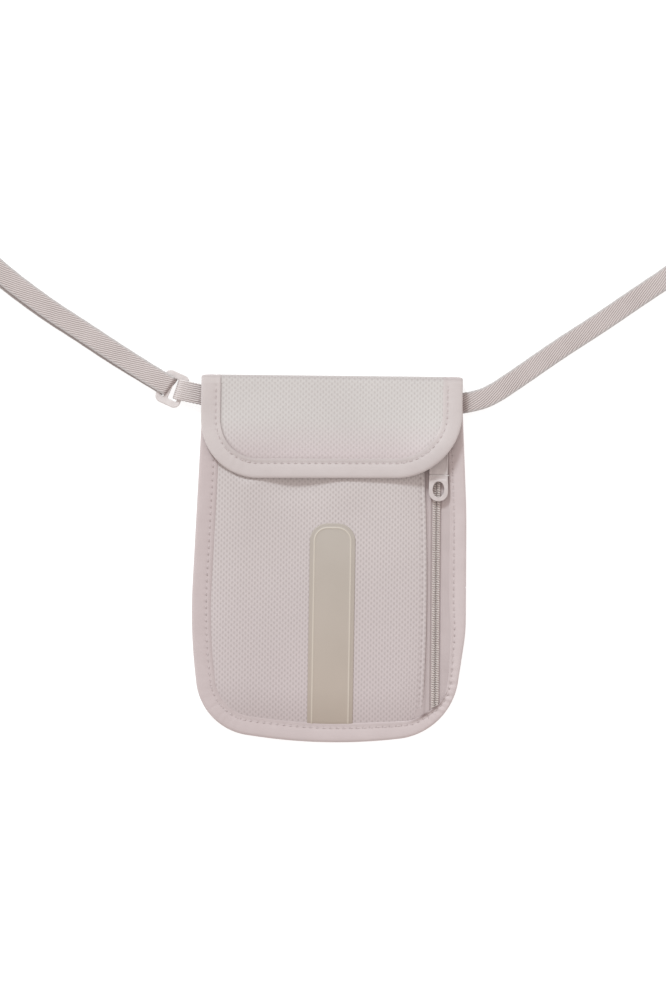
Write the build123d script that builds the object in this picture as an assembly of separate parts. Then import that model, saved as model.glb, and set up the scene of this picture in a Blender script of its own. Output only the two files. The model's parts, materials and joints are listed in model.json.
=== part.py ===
"""Neck pouch wallet: a flat travel pouch on an adjustable neck strap.

The pouch lies on its back. X runs across it, +Y towards the fold of the flap, +Z out of its front.
The origin is on the surface it lies on, under the middle of the body. Everything is in millimetres.
"""

import math
import os

from build123d import *

# body outline: the right half of the polygon whose corners are rounded, from the top down
BODY_TOP = 97.5
BODY_POLYGON = [(69.5, 97.5), (73.3, -49.2), (63.0, -91.1), (0.0, -100.04)]
SIDE_RADIUS = 128.0
CORNER_RADIUS = 38.0
BASE_RADIUS = 250.0
MOUTH_Y = 86.0
SHELL_TOP_Y = 88.0

# layers of the body, from the back up
BACK_T = 1.0
BACK_LINING_T = 0.3
CAVITY_T = 4.4
DIVIDER_T = 0.4
ZIP_POCKET_T = 0.7
FRONT_T = 1.4
LINING_Z = BACK_T + BACK_LINING_T
DIVIDER_Z = LINING_Z + CAVITY_T
FRONT_UNDER_Z = DIVIDER_Z + DIVIDER_T + ZIP_POCKET_T
FRONT_Z = FRONT_UNDER_Z + FRONT_T

# edge binding, and the slot in it that holds the edges of the layers
BIND_W = 9.0
BIND_FOLD_T = 0.8
BIND_Z0 = 2.4
BIND_Z1 = 6.0
SLOT_Z0 = 3.0
SLOT_Z1 = 5.4
BACK_EDGE_Z = 3.5
LINING_EDGE_Z = 3.65
DIVIDER_EDGE_Z = 3.8
CROWN_INSET = 26.0
WALL_SHIFT = 1.0
DIVIDER_SIDE_X = 47.2

# flap, closed, and its fold
FLAP_HALF_W = 69.5
FLAP_HEM_Y = 42.5
FLAP_CORNER_R = 31.0
FLAP_BIND_W = 9.5
FLAP_UNDER_Z = 8.9
FLAP_LINING_Z = 9.0
FLAP_PANEL_Z = 9.3
FLAP_Z = 10.6
FLAP_BIND_Z = 10.7
FLAP_SLOT_Z = (9.2, 9.5, 10.2)
HINGE_Y = 92.2
FOLD_T = 0.9
FOLD_HALF_W = 67.5
PIECE_GAP = 0.3

# zip
ZIP_X = 57.5
PANEL_EDGE_X = 51.6
TAPE_Z = 4.9
TAPE_LEFT_X = 47.5
TAPE_ENDS = (-88.0, 80.0)
COIL_GAP = 0.9
COIL_W = 1.75
COIL_T = 1.0
COIL_ENDS = (-66.0, 70.0)
SLIDER_ENDS = (45.4, 54.6)
SLIDER_W = 8.2
SLIDER_PLATE_T = 0.5
SLIDER_UNDER_Z = 4.1
SLIDER_OVER_Z = 6.7
SLIDER_POST = (0.5, 2.0)

# pull tab, its pin, and the cover of the same width that stays on the slider
PULL_X = 57.9
PULL_W = 10.2
PULL_END_Y = 29.4
PULL_SHOULDER_Y = 43.7
PIVOT_Y = 45.0
PIVOT_Z = 7.95
PULL_Z0 = 7.4
PULL_Z1 = 8.5
PULL_HOLE = (6.2, 8.0)
PULL_HOLE_Y = 36.3
KNUCKLE_R = 0.85
KNUCKLE_W = 4.8
PIN_R = 0.35
BORE_R = 0.40
COVER_START_Y = 46.2
COVER_END_Y = 58.0

# label strip and closure patches
LABEL_X = 1.6
LABEL_W = 24.3
LABEL_TOP_Y = 18.6
LABEL_T = 0.7
PATCH_SIZE = (34.0, 12.0)
PATCH_T = 0.25
PATCH_Y = 58.0
MOUTH_BIND_W = 7.0
MOUTH_BIND_T = 0.3

# webbing and its slider: u runs along the webbing, away from the pouch, and v along the bars
WEB_W = 11.0
WEB_T = 1.2
WEB_Z = 2.6
BUCKLE_CENTRE = (-84.9, 88.9)
BUCKLE_ANGLE = 150.0
BUCKLE_SIZE = (14.0, 18.5)
BUCKLE_BAR = 2.3
BUCKLE_END = 2.6
BUCKLE_Z = (1.3, 2.55)
BUCKLE_CORNER_R = 3.0
STRAP_WRAP_U = (-2.45, -1.25)
TAB_WRAP_U = (-4.6, -3.5)

# centre line of the webbing, from the seam at the right round to the slider at the left
STRAP_ROUTE = [
    (71.3, 83.8),
    (83.4, 87.0),
    (97.8, 96.8),
    (121.5, 113.9),
    (142.6, 127.8),
    (163.7, 142.8),
    (183.0, 156.0),
    (199.5, 171.5),
    (209.0, 195.0),
    (212.5, 222.0),
    (212.5, 250.0),
    (209.5, 276.0),
    (200.5, 298.5),
    (183.0, 316.0),
    (157.0, 326.5),
    (120.0, 332.0),
    (72.0, 335.0),
    (22.0, 336.5),
    (-28.0, 336.0),
    (-78.0, 334.0),
    (-122.0, 330.5),
    (-158.0, 325.0),
    (-184.0, 315.0),
    (-201.5, 297.5),
    (-210.0, 275.0),
    (-213.0, 248.5),
    (-212.0, 220.0),
    (-207.5, 192.0),
    (-196.5, 166.5),
    (-177.5, 149.1),
    (-153.2, 131.4),
    (-134.3, 119.7),
    (-115.5, 107.6),
    (-98.5, 97.2),
    (-83.4, 88.1),
]
# centre line of the webbing's free end, which lies under the strap
TAIL_ROUTE = [
    (-84.8, 87.9),
    (-98.5, 95.4),
    (-116.6, 105.9),
    (-135.5, 118.1),
    (-154.5, 129.7),
    (-178.8, 147.3),
    (-198.0, 164.5),
    (-209.5, 189.0),
    (-212.5, 214.0),
]


def slab(face, z0, z1):
    """A flat plate with the outline of face, from height z0 to z1."""
    return Pos(0, 0, z0) * extrude(face, z1 - z0, dir=(0, 0, 1))


def block(x0, x1, y0, y1, z0, z1):
    """A box between two opposite corners."""
    centre = Pos((x0 + x1) / 2, (y0 + y1) / 2, (z0 + z1) / 2)
    return centre * Box(x1 - x0, y1 - y0, z1 - z0)


def body_outline(inset=0.0, top=BODY_TOP):
    """The outline of the body, moved inwards by inset and cut straight at height top."""
    (top_w, top_y), (side_w, side_y), (low_w, low_y), (_, base_y) = BODY_POLYGON
    reach = 60.0
    over_w = top_w - (side_w - top_w) / (top_y - side_y) * reach
    right = [(over_w, top_y + reach), (side_w, side_y), (low_w, low_y)]
    left = [(-x, y) for x, y in reversed(right)]
    radii = [SIDE_RADIUS, CORNER_RADIUS, BASE_RADIUS, CORNER_RADIUS, SIDE_RADIUS]
    curve = FilletPolyline(*right, (0, base_y), *left, radius=radii)
    face = make_face([*curve.edges(), Line(left[-1], right[0])])
    if inset:
        face = offset(face, amount=-inset, kind=Kind.INTERSECTION)
    return face & (Pos(0, top - 150.0) * Rectangle(400.0, 300.0))


def flap_outline(inset=0.0):
    """The outline of the flap, moved inwards by inset at its sides and hem."""
    width = FLAP_HALF_W - inset
    hem = FLAP_HEM_Y + inset
    points = [(width, HINGE_Y), (width, hem), (-width, hem), (-width, HINGE_Y)]
    curve = FilletPolyline(*points, radius=FLAP_CORNER_R - inset)
    return make_face([*curve.edges(), Line(points[-1], points[0])])


def frustum(low_inset, low_z, high_inset, high_z, top):
    """The crowned middle of a layer, from its edge line at low_z to its flat at high_z."""
    low = Pos(0, 0, low_z) * body_outline(low_inset, top)
    high = Pos(0, 0, high_z) * body_outline(high_inset, top)
    return loft([low.face(), high.face()], ruled=True)


def crowned_layer(rim_z0, rim_z1, edge_z, flat_z, inner_edge_z, inner_flat_z, top):
    """A layer of the body: a thin rim held in the binding and a crowned middle of even wall."""
    rim = slab(body_outline(BIND_FOLD_T, top), rim_z0, rim_z1)
    outer = frustum(BIND_W, edge_z, CROWN_INSET, flat_z, top)
    inner_insets = (BIND_W + WALL_SHIFT, CROWN_INSET + WALL_SHIFT)
    inner = frustum(inner_insets[0], inner_edge_z, inner_insets[1], inner_flat_z, top)
    return (rim + outer) - inner


def make_back_panel():
    """Back of the pouch, flat where it lies."""
    return crowned_layer(SLOT_Z0, BACK_EDGE_Z, SLOT_Z0, 0.0, BACK_EDGE_Z, BACK_T, SHELL_TOP_Y)


def make_back_lining():
    """Thin lining on the inside of the back."""
    top = SHELL_TOP_Y
    rim = slab(body_outline(BIND_FOLD_T, top), BACK_EDGE_Z, LINING_EDGE_Z)
    low = BIND_W + WALL_SHIFT
    high = CROWN_INSET + WALL_SHIFT
    outer = frustum(low, BACK_EDGE_Z, high, BACK_T, top)
    inner = frustum(low, LINING_EDGE_Z, high, LINING_Z, top)
    return (rim + outer) - inner


def make_divider_lining():
    """Wall between the main pocket and the zipped pocket; it lies low beside the zip."""
    top = MOUTH_Y
    rim = slab(body_outline(BIND_FOLD_T, top), LINING_EDGE_Z, DIVIDER_EDGE_Z)
    outer = frustum(BIND_W + 3.0, DIVIDER_EDGE_Z, CROWN_INSET + 1.2, DIVIDER_Z + DIVIDER_T, top)
    inner = frustum(BIND_W + 3.6, LINING_EDGE_Z, CROWN_INSET + 1.8, DIVIDER_Z, top)
    keep_outer = block(-90, DIVIDER_SIDE_X, -120, 120, 0, 12)
    keep_inner = block(-90, DIVIDER_SIDE_X - DIVIDER_T, -120, 120, 0, 12)
    return (rim + (outer & keep_outer)) - (inner & keep_inner)


def make_front_panel():
    """Padded mesh front, with a folded edge beside the zip."""
    whole = crowned_layer(
        DIVIDER_EDGE_Z, SLOT_Z1, SLOT_Z1, FRONT_Z, DIVIDER_EDGE_Z, FRONT_UNDER_Z, MOUTH_Y
    )
    return whole & block(-90, PANEL_EDGE_X, -120, 120, 0, 12)


def make_mouth_binding():
    """Tape folded over the top edge of the front, on its flat middle."""
    half = body_outline(CROWN_INSET + WALL_SHIFT, MOUTH_Y).bounding_box().max.X - 3.0
    start = MOUTH_Y - MOUTH_BIND_W
    end = MOUTH_Y + MOUTH_BIND_T
    tape = block(-half, half, start, end, FRONT_UNDER_Z - MOUTH_BIND_T, FRONT_Z + MOUTH_BIND_T)
    return tape - block(-half, half, start, MOUTH_Y, FRONT_UNDER_Z, FRONT_Z)


def make_body_binding():
    """Tape folded over the edges of all the layers, down both sides and round the base."""
    ring = slab(body_outline(0, SHELL_TOP_Y) - body_outline(BIND_W, SHELL_TOP_Y + 1), BIND_Z0, BIND_Z1)
    return ring - slab(body_outline(BIND_FOLD_T, SHELL_TOP_Y + 1), SLOT_Z0, SLOT_Z1)


def make_label_patch():
    """Smooth label strip on the front, from a rounded top down to the binding."""
    thick = frustum(BIND_W, SLOT_Z1 + LABEL_T, CROWN_INSET, FRONT_Z + LABEL_T, MOUTH_Y)
    filled = slab(body_outline(BIND_W, MOUTH_Y), SLOT_Z1, SLOT_Z1 + LABEL_T)
    front = frustum(BIND_W, SLOT_Z1, CROWN_INSET, FRONT_Z, MOUTH_Y)
    length = LABEL_TOP_Y + 110.0
    strip = Pos(LABEL_X, LABEL_TOP_Y - length / 2) * RectangleRounded(LABEL_W, length, 9.5)
    return ((thick + filled) - front) & slab(strip, 0, 12)


def make_patch(z0):
    """One half of the hook and loop closure."""
    return slab(Pos(0, PATCH_Y) * RectangleRounded(*PATCH_SIZE, 2.0), z0, z0 + PATCH_T)


def fold_arc(radius):
    """An arc of the fold's section, in (Y, Z): from the flap round the top edge to the back."""
    middle_z = FLAP_BIND_Z / 2
    start_angle = 90.0 - math.degrees(PIECE_GAP / middle_z)
    points = []
    for angle in (start_angle, 0.0, -90.0):
        turn = math.radians(angle)
        points.append((HINGE_Y + radius * math.cos(turn), middle_z + radius * math.sin(turn)))
    return points


def make_flap_fold():
    """Fabric that runs from the back, round the top edge and onto the flap."""
    outer = fold_arc(FLAP_BIND_Z / 2)
    inner = fold_arc(FLAP_BIND_Z / 2 - FOLD_T)
    lines = [
        ThreePointArc(*outer),
        Polyline(outer[-1], (SHELL_TOP_Y, 0), (SHELL_TOP_Y, FOLD_T), inner[-1]),
        ThreePointArc(*inner),
        Line(inner[0], outer[0]),
    ]
    face = Plane.YZ * make_face([edge for line in lines for edge in line.edges()])
    return Pos(-FOLD_HALF_W, 0, 0) * extrude(face, 2 * FOLD_HALF_W, dir=(1, 0, 0))


def make_flap_layer(z0, z1, edge_z0, edge_z1):
    """A flap layer: full thickness in the middle and pinched inside the binding."""
    middle = slab(flap_outline(FLAP_BIND_W), z0, z1)
    edge = slab(flap_outline(BIND_FOLD_T) - flap_outline(FLAP_BIND_W), edge_z0, edge_z1)
    return middle + edge


def make_flap_binding():
    """Tape folded over the sides and hem of the flap."""
    ring = slab(flap_outline() - flap_outline(FLAP_BIND_W), FLAP_UNDER_Z, FLAP_BIND_Z)
    return ring - slab(flap_outline(BIND_FOLD_T), FLAP_SLOT_Z[0], FLAP_SLOT_Z[2])


def make_zip_tape_left(front_panel):
    """Tape under the folded edge of the front."""
    x1 = ZIP_X - COIL_GAP / 2
    strip = block(TAPE_LEFT_X, x1, *TAPE_ENDS, TAPE_Z, SLOT_Z1)
    return (strip & slab(body_outline(BIND_FOLD_T, SHELL_TOP_Y), 0, 12)) - front_panel


def make_zip_tape_right():
    """Tape that fills the front between the coil and the side binding."""
    x0 = ZIP_X + COIL_GAP / 2
    strip = block(x0, 80.0, *TAPE_ENDS, TAPE_Z, SLOT_Z1)
    return strip & slab(body_outline(BIND_FOLD_T, SHELL_TOP_Y), 0, 12)


def make_zip_coil(side):
    """Coil of one side: -1 is the left one, 1 the right one."""
    near = ZIP_X + side * COIL_GAP / 2
    far = near + side * COIL_W
    return block(min(near, far), max(near, far), *COIL_ENDS, SLOT_Z1, SLOT_Z1 + COIL_T)


def make_slider_body():
    """Two plates, over and under the zip, joined by the post that parts the coils."""
    y0, y1 = SLIDER_ENDS
    plate = Pos(ZIP_X, (y0 + y1) / 2) * RectangleRounded(SLIDER_W, y1 - y0, 1.8)
    under = slab(plate, SLIDER_UNDER_Z, SLIDER_UNDER_Z + SLIDER_PLATE_T)
    over = slab(plate, SLIDER_OVER_Z, SLIDER_OVER_Z + SLIDER_PLATE_T)
    half_w = SLIDER_POST[0] / 2
    post_y = (y1 - SLIDER_POST[1], y1 - 0.2)
    post = block(ZIP_X - half_w, ZIP_X + half_w, *post_y, SLIDER_UNDER_Z, SLIDER_OVER_Z)
    return under + over + post


def rod(radius, x0, x1):
    """A cylinder along X on the pivot of the pull."""
    return Pos((x0 + x1) / 2, PIVOT_Y, PIVOT_Z) * Rot(0, 90, 0) * Cylinder(radius, x1 - x0)


def make_pull_cover():
    """Plate on the slider that carries on the line of the pull, with the two ears of its hinge."""
    half = PULL_W / 2
    top = SLIDER_OVER_Z + SLIDER_PLATE_T
    cover = block(PULL_X - half, PULL_X + half, COVER_START_Y, COVER_END_Y, top, PULL_Z1)
    inner = KNUCKLE_W / 2 + PIECE_GAP
    for x0, x1 in ((-half, -inner), (inner, half)):
        cover += rod(KNUCKLE_R, PULL_X + x0, PULL_X + x1)
        cover += block(PULL_X + x0, PULL_X + x1, PIVOT_Y, COVER_START_Y, PIVOT_Z - 0.5, PULL_Z1)
    return cover - rod(PIN_R, PULL_X - half, PULL_X + half)


def make_pull_pin():
    """Pin through the ears of the cover and the knuckle of the pull."""
    return rod(PIN_R, PULL_X - PULL_W / 2, PULL_X + PULL_W / 2)


def make_zip_pull():
    """Flat pull tab with a rounded end, an oval hole and a knuckle on the pin."""
    middle = (PULL_END_Y + PULL_SHOULDER_Y) / 2
    length = PULL_SHOULDER_Y - PULL_END_Y
    outline = Pos(PULL_X, middle) * Rectangle(PULL_W, length)
    low = outline.vertices().sort_by(Axis.Y)[:2]
    outline = fillet(low, PULL_W / 2 - 0.3)
    outline -= Pos(PULL_X, PULL_HOLE_Y) * Ellipse(PULL_HOLE[0] / 2, PULL_HOLE[1] / 2)
    half = KNUCKLE_W / 2
    tab = slab(outline, PULL_Z0, PULL_Z1)
    tab += block(PULL_X - half, PULL_X + half, PULL_SHOULDER_Y - 0.2, PIVOT_Y, PULL_Z0, PULL_Z1)
    tab += rod(KNUCKLE_R, PULL_X - half, PULL_X + half)
    return tab - rod(BORE_R, PULL_X - half - 1, PULL_X + half + 1)


def ribbon(route, z0):
    """Webbing laid along a route: straight runs joined by the largest arcs they allow."""
    points = [Vector(x, y, z0 + WEB_T / 2) for x, y in route]
    runs = [(b - a) for a, b in zip(points, points[1:])]
    radii = []
    for before, after in zip(runs, runs[1:]):
        turn = math.radians(before.get_angle(after))
        radii.append(0.45 * min(before.length, after.length) / math.tan(turn / 2))
    path = Wire(FilletPolyline(*points, radius=radii).edges())
    start = Plane(origin=path @ 0, x_dir=(path % 0).cross(Vector(0, 0, 1)), z_dir=path % 0)
    solid = sweep(start * Rectangle(WEB_W, WEB_T), path=path)
    print(f"webbing: length {path.length:.1f}, volume over section times length "
          f"{solid.volume / (WEB_W * WEB_T * path.length):.4f}")
    print("radii:", " ".join(f"{r:.0f}" for r in radii))
    return solid


def buckle_frame():
    """The slider's own place and directions."""
    return Pos(*BUCKLE_CENTRE, 0) * Rot(0, 0, BUCKLE_ANGLE)


def buckle_point(u, v):
    """The (X, Y) of a point given in the slider's own directions."""
    angle = math.radians(BUCKLE_ANGLE)
    x = BUCKLE_CENTRE[0] + u * math.cos(angle) - v * math.sin(angle)
    y = BUCKLE_CENTRE[1] + u * math.sin(angle) + v * math.cos(angle)
    return (x, y)


def make_strap_buckle():
    """Three-bar slider: a rounded frame with two slots."""
    length, width = BUCKLE_SIZE
    slot = (length - 3 * BUCKLE_BAR) / 2
    plate = RectangleRounded(length, width, BUCKLE_CORNER_R)
    opening = RectangleRounded(slot, width - 2 * BUCKLE_END, 0.8)
    for side in (-1, 1):
        plate -= Pos(side * (BUCKLE_BAR + slot) / 2, 0) * opening
    return buckle_frame() * slab(plate, *BUCKLE_Z)


def make_neck_strap():
    """Webbing from the right seam to the slider, where it dives round the middle bar."""
    u0, u1 = STRAP_WRAP_U
    wrap = Pos((u0 + u1) / 2, 0, (WEB_Z + WEB_T) / 2) * Box(u1 - u0, WEB_W, WEB_Z + WEB_T)
    return ribbon(STRAP_ROUTE, WEB_Z) + buckle_frame() * wrap


def make_strap_tab():
    """Short webbing loop from the left seam round the slider's near bar."""
    seam_x = -70.2
    u0, u1 = TAB_WRAP_U
    half = WEB_W / 2 - 0.3
    outline = make_face(Polyline(
        (seam_x, 80.0), (seam_x, 91.0), buckle_point(u1, -half), buckle_point(u1, half), close=True
    ).edges())
    upper = slab(outline, WEB_Z, WEB_Z + WEB_T)
    under = slab(outline, 0.0, WEB_T - 0.05)
    wrap = Pos((u0 + u1) / 2, 0, (WEB_Z + WEB_T) / 2) * Box(u1 - u0, 2 * half, WEB_Z + WEB_T)
    return upper + under + buckle_frame() * wrap


def main():
    os.makedirs("parts", exist_ok=True)
    slot0, slot1, slot2 = FLAP_SLOT_Z
    front_panel = make_front_panel()
    nodes = {
        "back_panel": make_back_panel(),
        "back_lining": make_back_lining(),
        "divider_lining": make_divider_lining(),
        "front_panel": front_panel,
        "mouth_binding": make_mouth_binding(),
        "body_binding": make_body_binding(),
        "label_patch": make_label_patch(),
        "loop_patch": make_patch(FRONT_Z),
        "zip_tape_left": make_zip_tape_left(front_panel),
        "zip_tape_right": make_zip_tape_right(),
        "zip_coil_left": make_zip_coil(-1),
        "zip_coil_right": make_zip_coil(1),
        "flap_fold": make_flap_fold(),
        "flap_panel": make_flap_layer(FLAP_PANEL_Z, FLAP_Z, slot1, slot2),
        "flap_lining": make_flap_layer(FLAP_LINING_Z, FLAP_PANEL_Z, slot0, slot1),
        "flap_binding": make_flap_binding(),
        "hook_patch": make_patch(FLAP_LINING_Z - PATCH_T),
        "slider_body": make_slider_body(),
        "pull_cover": make_pull_cover(),
        "pull_pin": make_pull_pin(),
        "zip_pull": make_zip_pull(),
        "strap_tab": make_strap_tab(),
        "strap_buckle": make_strap_buckle(),
        "neck_strap": make_neck_strap(),
        "strap_tail": ribbon(TAIL_ROUTE, 0.0),
    }
    for name, shape in nodes.items():
        export_step(shape, f"parts/{name}.step")


main()
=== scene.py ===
"""Looks of the neck pouch wallet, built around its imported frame.

The pouch lies on its back: X across, +Y towards the fold of the flap, +Z out of its front.
Lengths are in millimetres, and mesh_object and curve_mesh turn them into metres.
"""

import json
import math

import bpy
import numpy as np
from mathutils import Vector
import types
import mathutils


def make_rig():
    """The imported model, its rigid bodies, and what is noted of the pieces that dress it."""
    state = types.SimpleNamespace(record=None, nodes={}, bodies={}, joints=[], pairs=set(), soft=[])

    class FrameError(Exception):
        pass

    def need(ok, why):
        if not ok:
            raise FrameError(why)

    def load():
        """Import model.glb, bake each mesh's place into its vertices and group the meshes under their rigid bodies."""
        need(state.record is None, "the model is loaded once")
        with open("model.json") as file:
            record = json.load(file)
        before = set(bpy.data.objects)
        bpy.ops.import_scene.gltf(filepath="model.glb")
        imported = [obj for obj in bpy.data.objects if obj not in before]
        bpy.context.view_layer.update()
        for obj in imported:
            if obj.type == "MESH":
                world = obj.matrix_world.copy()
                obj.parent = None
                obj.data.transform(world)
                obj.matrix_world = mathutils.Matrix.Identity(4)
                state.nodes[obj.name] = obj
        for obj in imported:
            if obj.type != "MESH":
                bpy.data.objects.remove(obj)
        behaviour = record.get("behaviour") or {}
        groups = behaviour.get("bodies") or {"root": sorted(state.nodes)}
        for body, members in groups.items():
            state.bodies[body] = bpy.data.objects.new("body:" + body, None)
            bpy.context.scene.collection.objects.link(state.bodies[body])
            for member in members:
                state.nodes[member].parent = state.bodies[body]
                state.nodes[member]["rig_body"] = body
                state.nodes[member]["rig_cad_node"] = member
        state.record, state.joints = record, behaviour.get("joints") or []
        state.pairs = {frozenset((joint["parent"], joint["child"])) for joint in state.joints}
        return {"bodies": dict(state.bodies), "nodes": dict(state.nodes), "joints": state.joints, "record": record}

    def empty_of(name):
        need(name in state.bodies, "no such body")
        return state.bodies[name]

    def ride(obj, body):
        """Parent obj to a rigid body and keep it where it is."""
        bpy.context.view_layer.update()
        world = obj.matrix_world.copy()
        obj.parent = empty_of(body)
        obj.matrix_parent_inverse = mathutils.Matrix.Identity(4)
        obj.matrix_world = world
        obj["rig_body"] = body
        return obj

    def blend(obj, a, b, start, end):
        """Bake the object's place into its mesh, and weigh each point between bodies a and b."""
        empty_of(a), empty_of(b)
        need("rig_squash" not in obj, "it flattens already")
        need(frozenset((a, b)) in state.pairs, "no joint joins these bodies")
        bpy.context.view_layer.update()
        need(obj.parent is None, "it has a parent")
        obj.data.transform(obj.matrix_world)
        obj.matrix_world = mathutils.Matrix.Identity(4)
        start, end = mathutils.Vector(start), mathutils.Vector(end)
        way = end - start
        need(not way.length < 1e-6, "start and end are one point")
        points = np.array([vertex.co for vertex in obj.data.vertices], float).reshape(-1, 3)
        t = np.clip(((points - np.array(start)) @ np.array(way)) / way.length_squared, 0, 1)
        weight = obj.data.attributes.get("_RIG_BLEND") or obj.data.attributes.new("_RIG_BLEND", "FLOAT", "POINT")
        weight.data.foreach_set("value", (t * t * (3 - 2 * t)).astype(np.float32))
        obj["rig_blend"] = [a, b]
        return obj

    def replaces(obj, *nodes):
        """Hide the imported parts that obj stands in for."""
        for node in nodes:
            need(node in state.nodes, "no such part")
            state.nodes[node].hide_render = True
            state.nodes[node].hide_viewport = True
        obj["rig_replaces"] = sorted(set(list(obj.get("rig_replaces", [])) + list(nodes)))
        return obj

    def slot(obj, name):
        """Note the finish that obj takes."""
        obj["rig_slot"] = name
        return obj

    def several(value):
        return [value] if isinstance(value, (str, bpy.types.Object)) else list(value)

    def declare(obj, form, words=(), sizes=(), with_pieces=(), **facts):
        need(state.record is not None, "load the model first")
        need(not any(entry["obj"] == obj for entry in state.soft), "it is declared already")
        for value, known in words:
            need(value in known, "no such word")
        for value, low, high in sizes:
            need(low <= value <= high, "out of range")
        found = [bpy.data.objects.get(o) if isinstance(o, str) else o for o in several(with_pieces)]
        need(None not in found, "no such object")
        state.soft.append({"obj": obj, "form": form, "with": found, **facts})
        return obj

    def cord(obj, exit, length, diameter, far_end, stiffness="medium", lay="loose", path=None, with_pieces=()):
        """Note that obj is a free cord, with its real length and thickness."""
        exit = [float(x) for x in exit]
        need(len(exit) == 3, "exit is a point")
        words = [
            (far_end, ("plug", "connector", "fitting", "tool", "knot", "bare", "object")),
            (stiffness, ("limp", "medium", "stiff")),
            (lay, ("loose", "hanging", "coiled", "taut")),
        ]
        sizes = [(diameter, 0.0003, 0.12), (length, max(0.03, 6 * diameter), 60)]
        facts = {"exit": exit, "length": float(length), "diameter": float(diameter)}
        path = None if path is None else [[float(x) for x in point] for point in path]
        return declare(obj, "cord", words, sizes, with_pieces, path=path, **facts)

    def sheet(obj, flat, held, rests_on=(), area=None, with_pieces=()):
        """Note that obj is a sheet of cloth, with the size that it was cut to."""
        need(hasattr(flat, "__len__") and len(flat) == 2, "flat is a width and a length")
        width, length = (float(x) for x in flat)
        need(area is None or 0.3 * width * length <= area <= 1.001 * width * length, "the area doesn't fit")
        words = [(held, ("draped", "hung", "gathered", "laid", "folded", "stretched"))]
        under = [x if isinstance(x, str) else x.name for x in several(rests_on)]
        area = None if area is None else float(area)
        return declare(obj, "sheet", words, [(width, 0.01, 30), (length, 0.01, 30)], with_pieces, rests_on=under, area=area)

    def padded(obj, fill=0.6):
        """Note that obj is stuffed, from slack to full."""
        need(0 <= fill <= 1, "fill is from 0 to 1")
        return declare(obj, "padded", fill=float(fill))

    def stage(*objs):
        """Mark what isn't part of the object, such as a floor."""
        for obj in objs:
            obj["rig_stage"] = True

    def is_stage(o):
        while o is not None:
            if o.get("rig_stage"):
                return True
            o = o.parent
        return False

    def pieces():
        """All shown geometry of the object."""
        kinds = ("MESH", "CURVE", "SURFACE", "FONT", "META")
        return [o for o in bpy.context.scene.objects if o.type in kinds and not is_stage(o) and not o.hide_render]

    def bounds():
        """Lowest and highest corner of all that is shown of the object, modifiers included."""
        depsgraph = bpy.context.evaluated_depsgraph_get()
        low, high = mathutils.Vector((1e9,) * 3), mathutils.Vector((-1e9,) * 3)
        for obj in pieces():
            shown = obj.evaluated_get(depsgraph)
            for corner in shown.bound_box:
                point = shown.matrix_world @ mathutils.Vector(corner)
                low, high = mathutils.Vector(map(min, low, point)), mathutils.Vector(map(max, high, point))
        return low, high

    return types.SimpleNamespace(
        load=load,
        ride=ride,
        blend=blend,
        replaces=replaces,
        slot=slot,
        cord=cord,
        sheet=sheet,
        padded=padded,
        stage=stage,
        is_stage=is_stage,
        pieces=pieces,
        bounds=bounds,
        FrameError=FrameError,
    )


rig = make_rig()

MM = 0.001
TURN = 2 * math.pi
SHARP_ANGLE = math.radians(55)
SIZE_FILE = "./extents.json"

# body outline: its corners from the top right round the base to the top left, and the radii
# that round them
BODY_CORNERS = [
    (68.6, 104.0), (72.7, 25.0), (73.3, -38.5), (65.8, -92.4), (0.0, -100.5), (-67.0, -91.8),
    (-73.6, -37.5), (-68.0, 104.0),
]
BODY_RADII = [430.0, 90.0, 36.0, 290.0, 32.0, 285.0]
# places round the body's outline, from its top right end, and the binding's width at each
BIND_PLACES = [0, 112, 137, 149, 162, 170, 178, 184, 191, 198, 215, 270, 300, 480]
BIND_WIDTHS = [9.1, 9.0, 7.1, 5.7, 5.2, 5.6, 7.3, 7.9, 8.2, 9.3, 10.2, 10.9, 10.4, 10.3]
BODY_TOP_Y = 88.5
MOUTH_Y = 86.0
EDGE_Z = 5.1
FRONT_Z = 8.2
BACK_EDGE_Z = 3.3
CROWN_START = 7.0
CROWN_RUN = 21.0
FRONT_T = 1.3
PRESS_SOFT = 0.2
STITCH_Z = 5.85
MOUTH_HALF_W = 43.0
MOUTH_BIND_W = 7.0

# flap and its fold
FLAP_HALF_W = 69.5
FLAP_HEM_Y = 42.6
FLAP_RADII = (35.0, 31.0)
FLAP_Z = 10.55
FLAP_T = 1.2
HINGE_Y = 92.2
FOLD_R = 5.1
FOLD_SQUARE = 4.5
FOLD_T = 0.9
FLAP_BIND_W = 10.4
# heights under the middle of the flap: its stitches, lining, hook patch and the front
FLAP_STITCH_Z = 10.4
FLAP_LINING_Z = 9.32
HOOK_PATCH_Z = 9.04
PRESSED_FRONT_Z = 8.8

# mesh fabric: its dots stand in a centred rectangular cell
CELL = (3.03, 2.80)
DOT_DEPTH = 0.07
FLAP_DOT_DEPTH = 0.05
RIB_SHARE = 0.36
STITCH_PITCH = 3.6

# flat areas of the back, divider and flap linings, in square metres
LINING_AREAS = (0.0237, 0.0234, 0.0052)

# zip
ZIP_X = 56.8
PANEL_EDGE_X = 52.2
EDGE_BOW = (0.0004, -28.0)
ZIP_LEAN = 0.0075
TAPE_Z = 5.9
COIL_PITCH = 0.95
COIL_WIRE_R = 0.25
COIL_HALF_W = 2.1
COIL_Z = 5.95
COIL_ENDS = (-79.0, 86.0)
TAPE_ENDS = (-90.0, 88.0)
PULL_X = 57.5
PULL_W = 10.2
PULL_TAPER = 0.3
PULL_HOLE_Y = 37.5
PULL_HOLE = (3.05, 4.15)
PULL_END_Y = 31.2
PULL_JOINT_Y = 45.6
PULL_PIVOT = (45.0, 7.95)
PULL_HALF_T = 0.55
PULL_COVER_END_Y = 58.0
PULL_COVER_UNDER_Z = 7.2
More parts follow.
